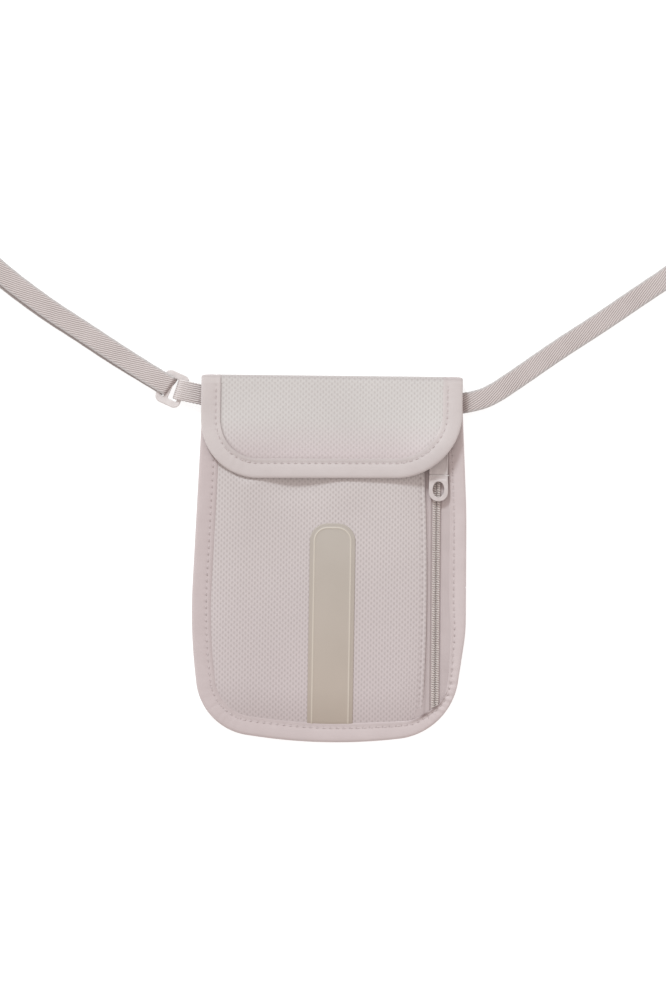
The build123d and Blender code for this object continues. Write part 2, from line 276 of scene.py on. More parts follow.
# the slider's plates: their reach in x and y, and the middle height and thickness of each
SLIDER_X = (53.4, 61.6)
SLIDER_Y = (45.4, 54.6)
SLIDER_UPPER = (6.95, 0.55)
SLIDER_LOWER = (4.35, 0.5)
POST_X = (59.5, 60.2)

# label strip and closure patches
LABEL_X = 1.6
LABEL_W = 24.3
LABEL_TOP_Y = 18.6
LABEL_END_Y = -93.0
LABEL_TOP_R = 9.5
PATCH_SIZE = (34.0, 12.0)
PATCH_Y = 58.0

# webbing
WEB_W = 11.0
WEB_T = 1.2
BUCKLE_CENTRE = (-85.3, 89.1)
BUCKLE_ANGLE = math.radians(156.5)
BUCKLE_MIDDLE_BAR = 1.5
BUCKLE_SIZE = (14.0, 18.5)
BUCKLE_Z = (1.3, 2.55)
BUCKLE_BAR = 2.3
BUCKLE_END = 3.6
TAB_SEAM = (-66.0, 85.4)
TAB_LENGTH = 20

# centre line of the webbing from the right seam round to the slider, with its heights
STRAP_ROUTE = [
    (66.5, 83.2, 3.9), (71.3, 83.8, 3.6), (83.4, 87.0, 2.6), (97.8, 96.8, 0.8),
    (121.5, 113.9, 0.6), (142.6, 127.8, 0.6), (163.7, 142.8, 0.6), (183.0, 156.0, 0.6),
    (199.5, 171.5, 0.6), (209.0, 195.0, 0.6), (212.5, 222.0, 0.6), (212.5, 250.0, 0.6),
    (209.5, 276.0, 0.6), (200.5, 298.5, 0.6), (183.0, 316.0, 0.6), (157.0, 326.5, 0.6),
    (120.0, 332.0, 0.6), (72.0, 335.0, 0.6), (22.0, 336.5, 0.6), (-28.0, 336.0, 0.6),
    (-78.0, 334.0, 0.6), (-122.0, 330.5, 0.6), (-158.0, 325.0, 0.6), (-184.0, 315.0, 0.6),
    (-201.5, 297.5, 0.6), (-210.0, 275.0, 0.7), (-213.0, 248.5, 1.2), (-212.0, 220.0, 1.9),
    (-207.5, 192.0, 1.9), (-196.5, 166.5, 1.9), (-177.5, 149.1, 1.9), (-153.2, 131.4, 1.9),
    (-134.3, 119.7, 1.9), (-115.5, 107.6, 2.1), (-98.5, 97.2, 3.1), (-89.4, 91.9, 3.3),
    (-86.4, 90.0, 3.2), (-86.3, 89.9, 1.4),
]
# centre line of the webbing's free end, under the strap
TAIL_ROUTE = [
    (-88.0, 90.3, 0.62), (-98.1, 96.2, 0.62), (-116.2, 106.7, 0.62), (-135.1, 118.9, 0.62),
    (-154.1, 130.5, 0.62), (-178.4, 148.1, 0.62), (-198.0, 164.5, 0.62), (-209.5, 189.0, 0.62),
    (-212.5, 214.0, 0.62),
]

# studio: half the floor's width, and the backdrop round it
ROOM = 6000.0
WALL_RADIUS = 5900.0
WALL_TOP = 1200.0
KEY_ELEVATION = math.radians(31)
KEY_FROM_TOP = math.radians(22)

rng = np.random.default_rng(7)
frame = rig.load()
cad_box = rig.bounds()


# ---------------------------------------------------------------- shapes in the plane


def unit(vector):
    return vector / np.linalg.norm(vector)


def unit_rows(vectors):
    return vectors / np.linalg.norm(vectors, axis=1)[:, None]


def ease(t):
    """Smooth step from 0 to 1."""
    t = np.clip(t, 0.0, 1.0)
    return t * t * (3.0 - 2.0 * t)


def bell(x, width, power=2):
    """1 at x = 0, falling away to 0 beyond width on both sides."""
    return np.exp(-((x / width) ** power))


def mound(x, y, widths):
    """1 at the origin, falling away to 0 beyond its two widths."""
    return np.exp(-((x / widths[0]) ** 2) - (y / widths[1]) ** 2)


def lengths_along(line):
    steps = np.linalg.norm(np.diff(line, axis=0), axis=1)
    return np.concatenate([[0.0], np.cumsum(steps)])


def resample(points, step=None, count=None):
    """The same line with evenly spaced points."""
    points = np.asarray(points, float)
    run = lengths_along(points)
    at = np.linspace(0.0, run[-1], count or max(2, int(round(run[-1] / step)) + 1))
    return np.stack([np.interp(at, run, column) for column in points.T], axis=1)


def rounded_line(corners, radii, step=0.6):
    """An open line through corners, each rounded by an arc of its radius."""
    corners = [np.array(c, float) for c in corners]
    points = [corners[0]]
    for before, corner, after, radius in zip(corners, corners[1:], corners[2:], radii):
        to_before = unit(before - corner)
        to_after = unit(after - corner)
        half = math.acos(np.clip(to_before @ to_after, -1, 1)) / 2
        centre = corner + unit(to_before + to_after) * radius / math.sin(half)
        start = corner + to_before * radius / math.tan(half) - centre
        turn = math.pi - 2 * half
        side = math.copysign(1.0, -to_before[0] * to_after[1] + to_before[1] * to_after[0])
        for angle in np.linspace(0, side * turn, 40):
            c, s = math.cos(angle), math.sin(angle)
            points.append(centre + np.array([c * start[0] - s * start[1], s * start[0] + c * start[1]]))
    points.append(corners[-1])
    return resample(points, step)


def body_line(step=0.6, top=BODY_TOP_Y):
    """The body's outline from its top right corner down, round the base and up the left side."""
    line = rounded_line(BODY_CORNERS, BODY_RADII, step)
    return line[line[:, 1] <= top]


def flap_line(step=0.6, inset=0.0):
    """The flap's outline from the right end of the fold down, along the hem and up."""
    w = FLAP_HALF_W - inset
    hem = FLAP_HEM_Y + inset
    corners = [(w, HINGE_Y), (w, hem), (-w, hem), (-w, HINGE_Y)]
    line = rounded_line(corners, [radius - inset for radius in FLAP_RADII], step)
    fall = ease((HINGE_Y - 10 - line[:, 1]) / 30)
    line[:, 1] += 0.014 * line[:, 0] * fall
    return line


class Inset:
    """How far inside a line each point of the plane is, read from a table made once."""

    def __init__(self, line, low, high, step=1.5):
        self.low = np.array(low, float)
        self.step = step
        counts = np.ceil((np.array(high) - self.low) / step).astype(int) + 1
        xs = self.low[0] + step * np.arange(counts[0])
        ys = self.low[1] + step * np.arange(counts[1])
        grid = np.stack(np.meshgrid(xs, ys, indexing="ij"), axis=-1)
        nearest = np.full(grid.shape[:2], 1e9)
        normal_side = np.zeros(grid.shape[:2])
        for a, b in zip(line[:-1], line[1:]):
            run = b - a
            t = np.clip(((grid - a) @ run) / (run @ run), 0, 1)
            away = grid - (a + t[..., None] * run)
            distance = np.hypot(away[..., 0], away[..., 1])
            side = away @ np.array([run[1], -run[0]])
            closer = distance < nearest
            nearest = np.where(closer, distance, nearest)
            normal_side = np.where(closer, side, normal_side)
        self.table = np.where(normal_side >= 0, nearest, -nearest)

    def __call__(self, x, y):
        u = np.clip((x - self.low[0]) / self.step, 0, self.table.shape[0] - 1.001)
        v = np.clip((y - self.low[1]) / self.step, 0, self.table.shape[1] - 1.001)
        i, j = u.astype(int), v.astype(int)
        fu, fv = u - i, v - j
        low = self.table[i, j] * (1 - fu) + self.table[i + 1, j] * fu
        high = self.table[i, j + 1] * (1 - fu) + self.table[i + 1, j + 1] * fu
        return low * (1 - fv) + high * fv


body_inset = Inset(body_line(2.0, top=104.0), (-77, -102), (77, 92))
flap_inset = Inset(flap_line(2.0), (-72, 40), (72, 95))


# ---------------------------------------------------------------- surfaces


def crown(inset):
    """The rise of a padded layer from its bound edge, from 0 to 1."""
    t = np.clip((inset - CROWN_START) / CROWN_RUN, 0, 1)
    return 1 - (1 - t) ** 2


def swells(x, y):
    """Slow unevenness of the padded front."""
    wave = 0.35 * np.sin(x / 19.0 + 0.6) * np.cos(y / 31.0 - 0.4)
    dip = -1.0 * mound(x + 16, y - 39, (15, 8))
    rise = 0.65 * mound(x - 8, y - 36, (12, 11))
    return wave + dip + rise


def panel_edge_x(y):
    """The folded edge of the front beside the zip, a little bowed."""
    return PANEL_EDGE_X - EDGE_BOW[0] * (y - EDGE_BOW[1]) ** 2


def zip_x(y):
    """The middle of the zip."""
    return ZIP_X - ZIP_LEAN * y


def front_z(x, y):
    """Height of the front's surface, without its dots; the flap presses on it."""
    inset = body_inset(x, y)
    rise = crown(inset)
    from_edge = panel_edge_x(y) - x
    seam = 0.2 * bell(from_edge - 2.5, 0.7)
    low_edge = 0.9 * bell(np.clip(from_edge, 0, 99), 9) * ease((60 - y) / 20)
    z = EDGE_Z + (FRONT_Z - EDGE_Z + swells(x, y) - low_edge) * rise - seam
    outside = np.clip(np.maximum(-flap_inset(x, y), FLAP_HEM_Y - y), 0, None)
    limit = flap_z(x, y) - FLAP_Z + PRESSED_FRONT_Z + 0.3 * outside
    return z - PRESS_SOFT * np.log1p(np.exp((z - limit) / PRESS_SOFT))


def flap_z(x, y):
    """Height of the flap's surface: it lies over the pouch and its edges hang a little."""
    inset = flap_inset(x, y)
    away_from_fold = ease((HINGE_Y - 2 - y) / 22)
    left = 2.1 * (1 - ease(inset / 20)) * (x < 0) * ease((-x - 20) / 30)
    right = 0.5 * (1 - ease(inset / 6)) * (x > 0) * ease((x - 50) / 14)
    lift = 2.8 * mound(x - 60, y - 50, (17, 15))
    wave = 0.25 * np.sin(x / 17.0 + 1.0) * np.cos(y / 23.0)
    return FLAP_Z + (lift + wave - left - right) * away_from_fold


def dots(u, v):
    """The lattice of the mesh fabric and its ribs, from -1 between the dots to 1 in them."""
    lattice = np.cos(TURN * u / CELL[0]) * np.cos(TURN * v / CELL[1])
    return (1 - RIB_SHARE) * lattice + RIB_SHARE * np.cos(4 * math.pi * u / CELL[0])


# ---------------------------------------------------------------- meshes


def add_object(name, data):
    made = bpy.data.objects.new(name, data)
    bpy.context.scene.collection.objects.link(made)
    return made


def smooth(mesh):
    """Smooth shading that keeps the sharp edges."""
    mesh.shade_smooth()
    mesh.set_sharp_from_angle(angle=SHARP_ANGLE)


def mesh_object(name, verts, faces, material, uv=None, dark=None, ridge=None):
    """A mesh piece from points in millimetres, with a pattern map and values at its points."""
    mesh = bpy.data.meshes.new(name)
    faces = faces.tolist() if isinstance(faces, np.ndarray) else faces
    mesh.from_pydata((np.asarray(verts, float) * MM).tolist(), [], faces)
    mesh.validate()
    smooth(mesh)
    if uv is not None:
        layer = mesh.uv_layers.new(name="Pattern")
        index = np.empty(len(mesh.loops), np.int32)
        mesh.loops.foreach_get("vertex_index", index)
        layer.data.foreach_set("uv", np.asarray(uv, np.float32)[index].ravel())
    for key, values in (("dark", dark), ("ridge", ridge)):
        if values is not None:
            attribute = mesh.attributes.new(key, "FLOAT", "POINT")
            attribute.data.foreach_set("value", np.asarray(values, np.float32))
    mesh.materials.append(material)
    return add_object(name, mesh)


def grid_points(columns, rows):
    """The points of a grid row by row, as two lists, and its quads."""
    x, y = np.meshgrid(columns, rows)
    return x.ravel(), y.ravel(), grid_faces(*x.shape)


def grid_faces(rows, columns):
    """Quads of a grid whose points are stored row by row."""
    i, j = np.meshgrid(np.arange(rows - 1), np.arange(columns - 1), indexing="ij")
    a = (i * columns + j).ravel()
    return np.stack([a, a + 1, a + columns + 1, a + columns], axis=1)


def keep_points(points, faces, keep, *others):
    """The faces whose points are all kept, and the points that they use."""
    faces = faces[keep[faces].all(axis=1)]
    used = np.unique(faces)
    new_index = np.full(len(points), -1)
    new_index[used] = np.arange(len(used))
    return (points[used], new_index[faces], *[other[used] for other in others])


def closed_sheet(verts, faces, under):
    """Closes a sheet of quads with a second layer at the points under."""
    count = len(verts)
    edges = np.concatenate([faces[:, [k, (k + 1) % 4]] for k in range(4)])
    key = edges[:, 0] * count + edges[:, 1]
    back = edges[:, 1] * count + edges[:, 0]
    rim = edges[~np.isin(key, back)]
    sides = np.stack([rim[:, 1], rim[:, 0], rim[:, 0] + count, rim[:, 1] + count], axis=1)
    return np.concatenate([verts, under]), np.concatenate([faces, faces[:, ::-1] + count, sides])


def sheet_piece(name, points, faces, under, material, uv, dark=None):
    """A closed sheet from its top surface and the points under it, or an even thickness."""
    if np.isscalar(under):
        under = points - np.array([0, 0, under])
    verts, faces = closed_sheet(points, faces, under)
    both = np.concatenate([uv, uv])
    shade = None if dark is None else np.concatenate([dark, 0 * dark])
    return mesh_object(name, verts, faces, material, both, shade)


def swept_loop(name, rings, material, uv, dark=None):
    """A closed tube through rings of points, with its two ends capped."""
    count, around = rings.shape[:2]
    faces = []
    for j in range(around):
        k = (j + 1) % around
        a = np.arange(count - 1) * around
        faces.append(np.stack([a + j, a + k, a + around + k, a + around + j], axis=1))
    faces = np.concatenate(faces).tolist()
    faces.append(list(range(around))[::-1])
    faces.append([(count - 1) * around + j for j in range(around)])
    shade = None if dark is None else dark.ravel()
    return mesh_object(name, rings.reshape(-1, 3), faces, material, uv.reshape(-1, 2), shade)


def inward(line):
    """Unit vectors to the inner side of a line that runs clockwise."""
    run = unit_rows(np.gradient(line, axis=0))
    return np.stack([run[:, 1], -run[:, 0]], axis=1)


# ---------------------------------------------------------------- materials


def srgb(*levels):
    """A linear colour from 8-bit display levels."""
    out = []
    for level in levels:
        c = level / 255
        out.append(c / 12.92 if c <= 0.04045 else ((c + 0.055) / 1.055) ** 2.4)
    return (*out, 1.0)


class Shader:
    """A material whose nodes are added step by step."""

    def __init__(self, name, **sockets):
        self.material = bpy.data.materials.new(name)
        self.material.use_nodes = True
        self.tree = self.material.node_tree
        self.bsdf = self.tree.nodes["Principled BSDF"]
        for socket, value in sockets.items():
            self.bsdf.inputs[socket.replace("_", " ")].default_value = value

    def node(self, kind, *inputs, **settings):
        """A node with its settings, and its first inputs linked or set in order."""
        made = self.tree.nodes.new(kind)
        for key, value in settings.items():
            setattr(made, key, value)
        for socket, value in zip(made.inputs, inputs):
            self.put(socket, value)
        return made

    def put(self, socket, value):
        if isinstance(value, bpy.types.NodeSocket):
            self.tree.links.new(value, socket)
        elif value is not None:
            socket.default_value = value

    def math(self, operation, *values):
        return self.node("ShaderNodeMath", *values, operation=operation).outputs[0]

    def times(self, a, b):
        return self.math("MULTIPLY", a, b)

    def plus(self, a, b):
        return self.math("ADD", a, b)

    def cosine(self, angle):
        return self.math("COSINE", angle)

    def pattern(self):
        """The two coordinates of the pattern map, in millimetres."""
        uv = self.node("ShaderNodeUVMap", uv_map="Pattern").outputs[0]
        parts = self.node("ShaderNodeSeparateXYZ", uv).outputs
        return uv, parts[0], parts[1]

    def noise(self, scale, detail=2.0, coordinates=None):
        made = self.node("ShaderNodeTexNoise", coordinates)
        made.inputs["Scale"].default_value = scale
        made.inputs["Detail"].default_value = detail
        return made.outputs[0]

    def wave(self, value, period):
        """A cosine of value with that period, from 0 to 1."""
        turned = self.cosine(self.times(value, TURN / period))
        return self.math("MULTIPLY_ADD", turned, 0.5, 0.5)

    def between(self, factor, low, high):
        made = self.node("ShaderNodeMix", data_type="RGBA")
        self.put(made.inputs[0], factor)
        self.put(made.inputs[6], low)
        self.put(made.inputs[7], high)
        return made.outputs[2]

    def ranged(self, value, low, high, to_low=0.0, to_high=1.0):
        return self.node("ShaderNodeMapRange", value, low, high, to_low, to_high).outputs[0]

    def bump(self, height, distance, strength=1.0):
        made = self.node("ShaderNodeBump")
        made.inputs["Strength"].default_value = strength
        made.inputs["Distance"].default_value = distance * MM
        self.put(made.inputs["Height"], height)
        self.put(self.bsdf.inputs["Normal"], made.outputs[0])

    def colour(self, colour):
        """The colour, darkened by the mesh's dark attribute: its stitch holes, and painted shade in creases, grooves,
        gaps and under other parts.
        """
        holes_and_shade = self.node("ShaderNodeAttribute", attribute_name="dark").outputs["Fac"]
        shaded = self.between(self.times(holes_and_shade, 0.6), colour, srgb(112, 92, 90))
        self.put(self.bsdf.inputs["Base Color"], shaded)
        return self.material


def mesh_fabric_material(name, light, low, fade, contrast):
    """Knitted mesh: rows of small sunk dots in a slightly fuzzy ground, pinker towards low, and darker towards the
    left as painted shade.
    """
    s = Shader(name, Roughness=0.82, Sheen_Weight=0.12, Sheen_Roughness=0.5)
    uv, u, v = s.pattern()
    across = s.cosine(s.times(u, TURN / CELL[0]))
    along = s.cosine(s.times(v, TURN / CELL[1]))
    lattice = s.times(s.times(across, along), 1 - RIB_SHARE)
    ribs = s.cosine(s.times(u, 4 * math.pi / CELL[0]))
    inside = s.ranged(s.math("MULTIPLY_ADD", ribs, RIB_SHARE, lattice), -0.7, 0.9)
    # tone fades from light to low along the map: on the flap this is painted light, lighter and greyer near the fold
    # and pinker towards the hem; on the front it gets pinker towards the base
    shade = s.between(s.ranged(v, *fade), light, low)
    cloud = s.ranged(s.noise(0.02, 3.0, uv), 0.35, 0.65, 0.0, 0.12)
    # painted shade: the fabric darkens towards the left side, mixed with random clouds of tone
    side = s.ranged(u, -60.0, 60.0, 0.12, 0.0)
    shade = s.between(s.plus(cloud, side), shade, srgb(170, 160, 158))
    s.colour(s.between(s.times(inside, contrast), shade, srgb(150, 138, 136)))
    yarn = s.wave(s.plus(u, s.times(s.wave(v, 0.7), 0.2)), 0.38)
    fuzz = s.noise(3.0, 3.0, uv)
    height = s.plus(s.times(yarn, 0.35), fuzz)
    s.bump(s.math("SUBTRACT", height, s.times(inside, 1.4)), 0.08, 0.7)
    return s.material


def tape_material(name, light, dark, bump=0.05):
    """Plain woven tape with fine ribs across it, darkened with painted shade further along its run."""
    s = Shader(name, Roughness=0.8, Sheen_Weight=0.12, Sheen_Roughness=0.5)
    uv, u, v = s.pattern()
    rib = s.wave(u, 0.55)
    pick = s.wave(s.plus(v, s.times(rib, 0.3)), 0.8)
    weave = s.math("MULTIPLY_ADD", rib, 0.6, s.times(pick, 0.4))
    cloud = s.noise(0.09, 3.0, uv)
    tone = s.plus(s.times(weave, 0.35), s.times(cloud, 0.6))
    # painted shade: from 180 mm along its run the tape darkens, over the base and up the left side of the body's
    # binding
    far = s.ranged(u, 180.0, 340.0, 0.0, 0.42)
    s.colour(s.between(s.plus(tone, far), light, dark))
    s.bump(s.plus(weave, s.noise(2.5, 2.0, uv)), bump, 0.7)
    return s.material


def webbing_material(name, light, dark):
    """Twill webbing: slanting ribs between two smooth selvedges."""
    s = Shader(name, Roughness=0.72, Sheen_Weight=0.15, Sheen_Roughness=0.5)
    uv, u, v = s.pattern()
    selvedge = s.ranged(s.math("ABSOLUTE", s.math("WRAP", v, 10.0, -10.0)), 4.2, 4.7)
    slant = s.math("SUBTRACT", s.times(v, 0.94), s.times(u, 0.342))
    wobble = s.times(s.noise(0.12, 2.0, uv), 0.5)
    rib = s.wave(s.plus(slant, wobble), 1.05)
    bead = s.wave(u, 0.62)
    weave = s.math("MULTIPLY_ADD", bead, 0.25, s.times(rib, 0.75))
    cloud = s.ranged(s.noise(0.05, 3.0, uv), 0.3, 0.7, 0.7, 1.0)
    ribs = s.between(s.times(s.math("POWER", rib, 1.6), cloud), light, dark)
    s.colour(s.between(selvedge, ribs, srgb(184, 177, 175)))
    s.bump(s.times(weave, -1.0), 0.16, 0.9)
    return s.material


def gathered_webbing_material():
    """The same webbing pulled narrow, so that its ribs run along it, with painted shade in the grooves between them
    near the seam.
    """
    s = Shader("webbing_gathered", Roughness=0.72, Sheen_Weight=0.15, Sheen_Roughness=0.5)
    uv, u, v = s.pattern()
    wobble = s.times(s.noise(0.2, 2.0, uv), 0.6)
    rib = s.wave(s.plus(v, wobble), 1.1)
    # painted shade in the gathers: the grooves are darkest at the seam and fade along the tab
    fade = s.ranged(u, 4.0, 16.0, 1.0, 0.25)
    groove = s.times(s.math("POWER", rib, 2.0), fade)
    s.colour(s.between(groove, srgb(208, 198, 195), srgb(120, 103, 101)))
    s.bump(s.times(rib, -1.0), 0.22, 0.9)
    return s.material


def smooth_material(name, colour, other, roughness, scale=0.4, metallic=0.0):
    """Moulded plastic or painted metal with a faint unevenness."""
    s = Shader(name, Roughness=roughness, Metallic=metallic)
    coordinates = s.node("ShaderNodeTexCoord").outputs["Object"]
    blotch = s.noise(scale / MM, 3.0, coordinates)
    s.colour(s.between(s.ranged(blotch, 0.35, 0.7), colour, other))
    grain = s.noise(2.2 / MM, 2.0, coordinates)
    s.put(s.bsdf.inputs["Roughness"], s.ranged(grain, 0.3, 0.7, roughness - 0.06, roughness + 0.08))
    s.bump(grain, 0.02, 0.5)
    return s.material


def label_material():
    """Smooth label film with fine lines along it; its margin is a little darker, and its raised line is painted
    lighter as a highlight.
    """
    s = Shader("label_film", Roughness=0.62)
    uv, u, v = s.pattern()
    down = s.ranged(v, 20.0, -88.0)
    tone = s.between(down, srgb(177, 168, 159), srgb(174, 160, 148))
    cloud = s.ranged(s.noise(0.04, 2.0, uv), 0.35, 0.65, 0.0, 0.15)
    film = s.between(cloud, tone, srgb(158, 148, 137))
    # painted highlight: the raised line is mixed towards a lighter colour
    raised = s.node("ShaderNodeAttribute", attribute_name="ridge").outputs["Fac"]
    s.colour(s.between(s.times(raised, 0.7), film, srgb(203, 193, 180)))
    s.bump(s.plus(s.noise(1.2, 2.0, uv), s.times(s.wave(u, 0.5), 0.3)), 0.02, 0.5)
    return s.material


def lining_material():
    """Thin plain-woven lining."""
    s = Shader("lining", Roughness=0.7, Sheen_Weight=0.1, Sheen_Roughness=0.5)
    uv, u, v = s.pattern()
    weave = s.times(s.wave(u, 0.4), s.wave(v, 0.4))
    cloud = s.noise(0.06, 3.0, uv)
    tone = s.plus(s.times(weave, 0.4), s.times(cloud, 0.5))
    s.colour(s.between(tone, srgb(196, 187, 184), srgb(170, 160, 158)))
    s.bump(s.plus(weave, s.noise(0.3, 3.0, uv)), 0.12, 0.6)
    return s.material


MESH = mesh_fabric_material("mesh_fabric", srgb(203, 194, 192), srgb(197, 184, 184), (40, -90), 0.5)
FLAP_MESH = mesh_fabric_material("flap_mesh", srgb(206, 201, 198), srgb(205, 193, 193), (74, 56), 0.34)
BACK = tape_material("back_fabric", srgb(200, 190, 188), srgb(182, 171, 170), 0.08)
TAPE = tape_material("binding_tape", srgb(202, 189, 188), srgb(186, 172, 171))
FLAP_TAPE = tape_material("flap_binding_tape", srgb(204, 195, 193), srgb(189, 178, 176))
ZIP_TAPE = tape_material("zip_tape", srgb(192, 179, 178), srgb(172, 158, 157), 0.07)
THREAD = smooth_material("thread", srgb(196, 184, 183), srgb(181, 168, 167), 0.65, 2.0)
WEBBING = webbing_material("webbing", srgb(208, 197, 194), srgb(130, 116, 113))
WEBBING_TAB = gathered_webbing_material()
LABEL = label_material()
LINING = lining_material()
CLOSURE = smooth_material("closure", srgb(205, 196, 193), srgb(190, 180, 178), 0.85, 1.5)
COIL = smooth_material("zip_coil", srgb(224, 215, 209), srgb(208, 198, 193), 0.6, 1.0)
METAL = smooth_material("slider_metal", srgb(205, 199, 197), srgb(192, 186, 184), 0.5, 0.3, 0.3)
PLASTIC = smooth_material("pull_plastic", srgb(200, 190, 188), srgb(190, 179, 177), 0.6, 0.3)
BUCKLE = smooth_material("buckle_plastic", srgb(214, 206, 204), srgb(203, 194, 192), 0.55, 0.3)


def finish_piece(piece, body, slot, *nodes):
    """The piece moves with that body, takes that slot's finish and stands for those nodes."""
    if body:
        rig.ride(piece, body)
    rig.slot(piece, slot)
    if nodes:
        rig.replaces(piece, *nodes)
    return piece


# ---------------------------------------------------------------- fabric of the body


def make_front_shell():
    """Padded mesh front with its dots, and the folded edge beside the zip."""
    columns = np.arange(-66.66, PANEL_EDGE_X - 1.0, CELL[0] / 4)
    columns = np.append(columns, PANEL_EDGE_X - np.array([0.75, 0.42, 0.17, 0.04, 0.0]))
    rows = np.append(np.arange(-93.1, MOUTH_Y, CELL[1] / 4), MOUTH_Y)
    u, v, faces = grid_points(columns, rows)
    shift = (panel_edge_x(v) - PANEL_EDGE_X) * ease((u - 35) / 16)
    px, py = u + shift, v
    from_edge = panel_edge_x(py) - px
    inset = body_inset(px, py)
    shown = ease((inset - 6.0) / 4.0) * ease((from_edge - 0.6) / 1.6)
    top = front_z(px, py) - DOT_DEPTH * dots(u, v) * shown
    roll = 0.7 - np.sqrt(np.clip(0.49 - np.clip(0.7 - from_edge, 0, 0.7) ** 2, 0, 1))
    under = top - FRONT_T + 0.6 * roll
    top = top - roll
    stitch = bell(from_edge - 2.5, 0.45)
    hole = stitch * np.clip(np.cos(TURN * py / STITCH_PITCH), 0, 1) ** 2
    points = np.stack([px, py, top - 0.25 * hole], axis=1)
    below = np.stack([px, py, under], axis=1)
    uv = np.stack([u, v], axis=1)
    points, faces, below, uv, hole = keep_points(points, faces, inset > 3.6, below, uv, hole)
    piece = sheet_piece("front_shell", points, faces, below, MESH, uv, hole)
    finish_piece(piece, "root", "mesh_fabric", "front_panel")
    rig.padded(piece, 0.3)


def body_sheet(name, height, thickness, material, step, least_inset, top):
    """A layer of the body, as a closed sheet over its outline."""
    px, py, faces = grid_points(np.arange(-72, 72.1, step), np.arange(-98, top + 0.1, step))
    inset = body_inset(px, py)
    points = np.stack([px, py, height(px, py, inset)], axis=1)
    uv = points[:, :2]
    points, faces, uv = keep_points(points, faces, inset > least_inset, uv)
    return sheet_piece(name, points, faces, thickness, material, uv)


def make_back_shell():
    """Back of the pouch, soft and slightly uneven where it meets its binding."""

    def height(x, y, inset):
        fall = crown(inset)
        waves = 0.12 * np.sin(x / 9.0) * np.sin(y / 13.0) * (1 - fall)
        return BACK_EDGE_Z - (BACK_EDGE_Z - 0.95) * fall + waves * (inset > 10)

    piece = body_sheet("back_shell", height, 0.9, BACK, 1.4, 3.6, 88)
    finish_piece(piece, "root", "mesh_fabric", "back_panel")
    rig.padded(piece, 0.3)


def make_linings():
    """Lining on the inside of the back, and the wall between the two pockets."""

    def back_height(x, y, inset):
        return BACK_EDGE_Z + 0.3 - (BACK_EDGE_Z - 1.0) * crown(inset)

    back = body_sheet("back_lining_cloth", back_height, 0.25, LINING, 2.4, 4.2, 87.5)
    finish_piece(back, "root", "lining_fabric", "back_lining")
    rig.sheet(back, (0.138, 0.184), "stretched", "back_shell", LINING_AREAS[0])

    def divider_height(x, y, inset):
        low = ease((x - 44.0) / 6.0)
        puff = 0.2 * np.sin(x / 8.0) * np.cos(y / 14.0)
        high = 3.9 + (2.0 + puff) * crown(inset - 2)
        return high * (1 - low) + 3.9 * low

    divider = body_sheet("divider_cloth", divider_height, 0.3, LINING, 2.4, 4.2, 85)
    finish_piece(divider, "root", "lining_fabric", "divider_lining")
    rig.sheet(divider, (0.138, 0.181), "stretched", "back_lining_cloth", LINING_AREAS[1])


# (share of the width from the outer edge, height) round the body binding's section
BODY_SECTION = [
    (1.00, 5.20), (1.00, 5.80), (0.98, 6.00), (0.93, 6.10), (0.86, 6.11), (0.80, 6.03),
    (0.73, 5.95), (0.66, 6.02), (0.52, 6.10), (0.32, 6.10), (0.16, 6.04), (0.08, 5.88),
    (0.03, 5.55), (0.00, 5.00), (0.00, 4.20), (0.00, 3.40), (0.03, 2.90), (0.08, 2.55),
    (0.16, 2.35), (0.32, 2.25), (0.52, 2.25), (0.66, 2.34), (0.73, 2.45), (0.80, 2.34),
    (0.90, 2.25), (0.98, 2.40), (1.00, 2.80), (0.90, 3.00), (0.20, 3.10), (0.10, 4.20),
    (0.20, 5.10), (0.90, 5.15),
]
STITCH_SHARE = 0.73


def binding_rings(line, widths, section, stitch_share, pucker):
    """Rings of points along a bound edge, with the map and where its stitches pierce it."""
    run = lengths_along(line)
    side = inward(line)
    share = np.array([f for f, _ in section])
    height = np.array([z for _, z in section])
    middle = (height.max() + height.min()) / 2
    across = share[None, :] * widths[:, None]
    from_stitch = (share[None, :] - stitch_share) * widths[:, None]
    phase = np.cos(TURN * run / STITCH_PITCH)[:, None]
    hole = bell(from_stitch, 0.42) * np.clip(phase, 0, 1) ** 4
    front = (height > middle)[None, :]
    z = height[None, :] + np.where(front, -1, 1) * 0.2 * hole
    ripple = pucker(run)[:, None] * np.sin(math.pi * share)[None, :]
    z = z + np.where(front, 1, -1) * ripple
    xy = line[:, None, :] + side[:, None, :] * across[..., None]
    rings = np.concatenate([xy, z[..., None]], axis=2)
    around = np.broadcast_to(np.cumsum(np.abs(np.diff(share, prepend=1.0)) * 10), across.shape)
    uv = np.stack([np.broadcast_to(run[:, None], across.shape), around], axis=2)
    return rings, uv, hole * front


def thread_piece(name, path, body, slot, pitch=STITCH_PITCH, length=2.5, radius=0.22):
    """A row of stitches: short round-ended threads that dip at both ends."""
    run = lengths_along(path)
    verts, faces = [], []
    stations = np.linspace(-1, 1, 7)
    around = np.linspace(0, TURN, 7)[:-1]
    at = np.arange(pitch / 2, run[-1] - pitch / 2, pitch)
    for centre in at:
        rows = []
        for t in stations:
            here = centre + t * length / 2
            point = np.array([np.interp(here, run, column) for column in path.T])
            ahead = np.array([np.interp(here + 0.2, run, column) for column in path.T])
            forward = unit(ahead - point)
            sideways = unit(np.cross(forward, [0, 0, 1]))
            up = np.cross(sideways, forward)
            r = radius * math.sqrt(max(0.05, 1 - t ** 4))
            point = point + up * (0.22 - 0.42 * t * t)
            for angle in around:
                rows.append(point + r * (math.cos(angle) * sideways + math.sin(angle) * up))
        base = len(verts)
        verts.extend(rows)
        n = len(around)
        for i in range(len(stations) - 1):
            for j in range(n):
                k = (j + 1) % n
                a, b = base + i * n, base + (i + 1) * n
                faces.append([a + j, a + k, b + k, b + j])
        faces.append([base + j for j in range(n)][::-1])
        faces.append([base + (len(stations) - 1) * n + j for j in range(n)])
    return finish_piece(mesh_object(name, verts, faces, THREAD), body, slot)


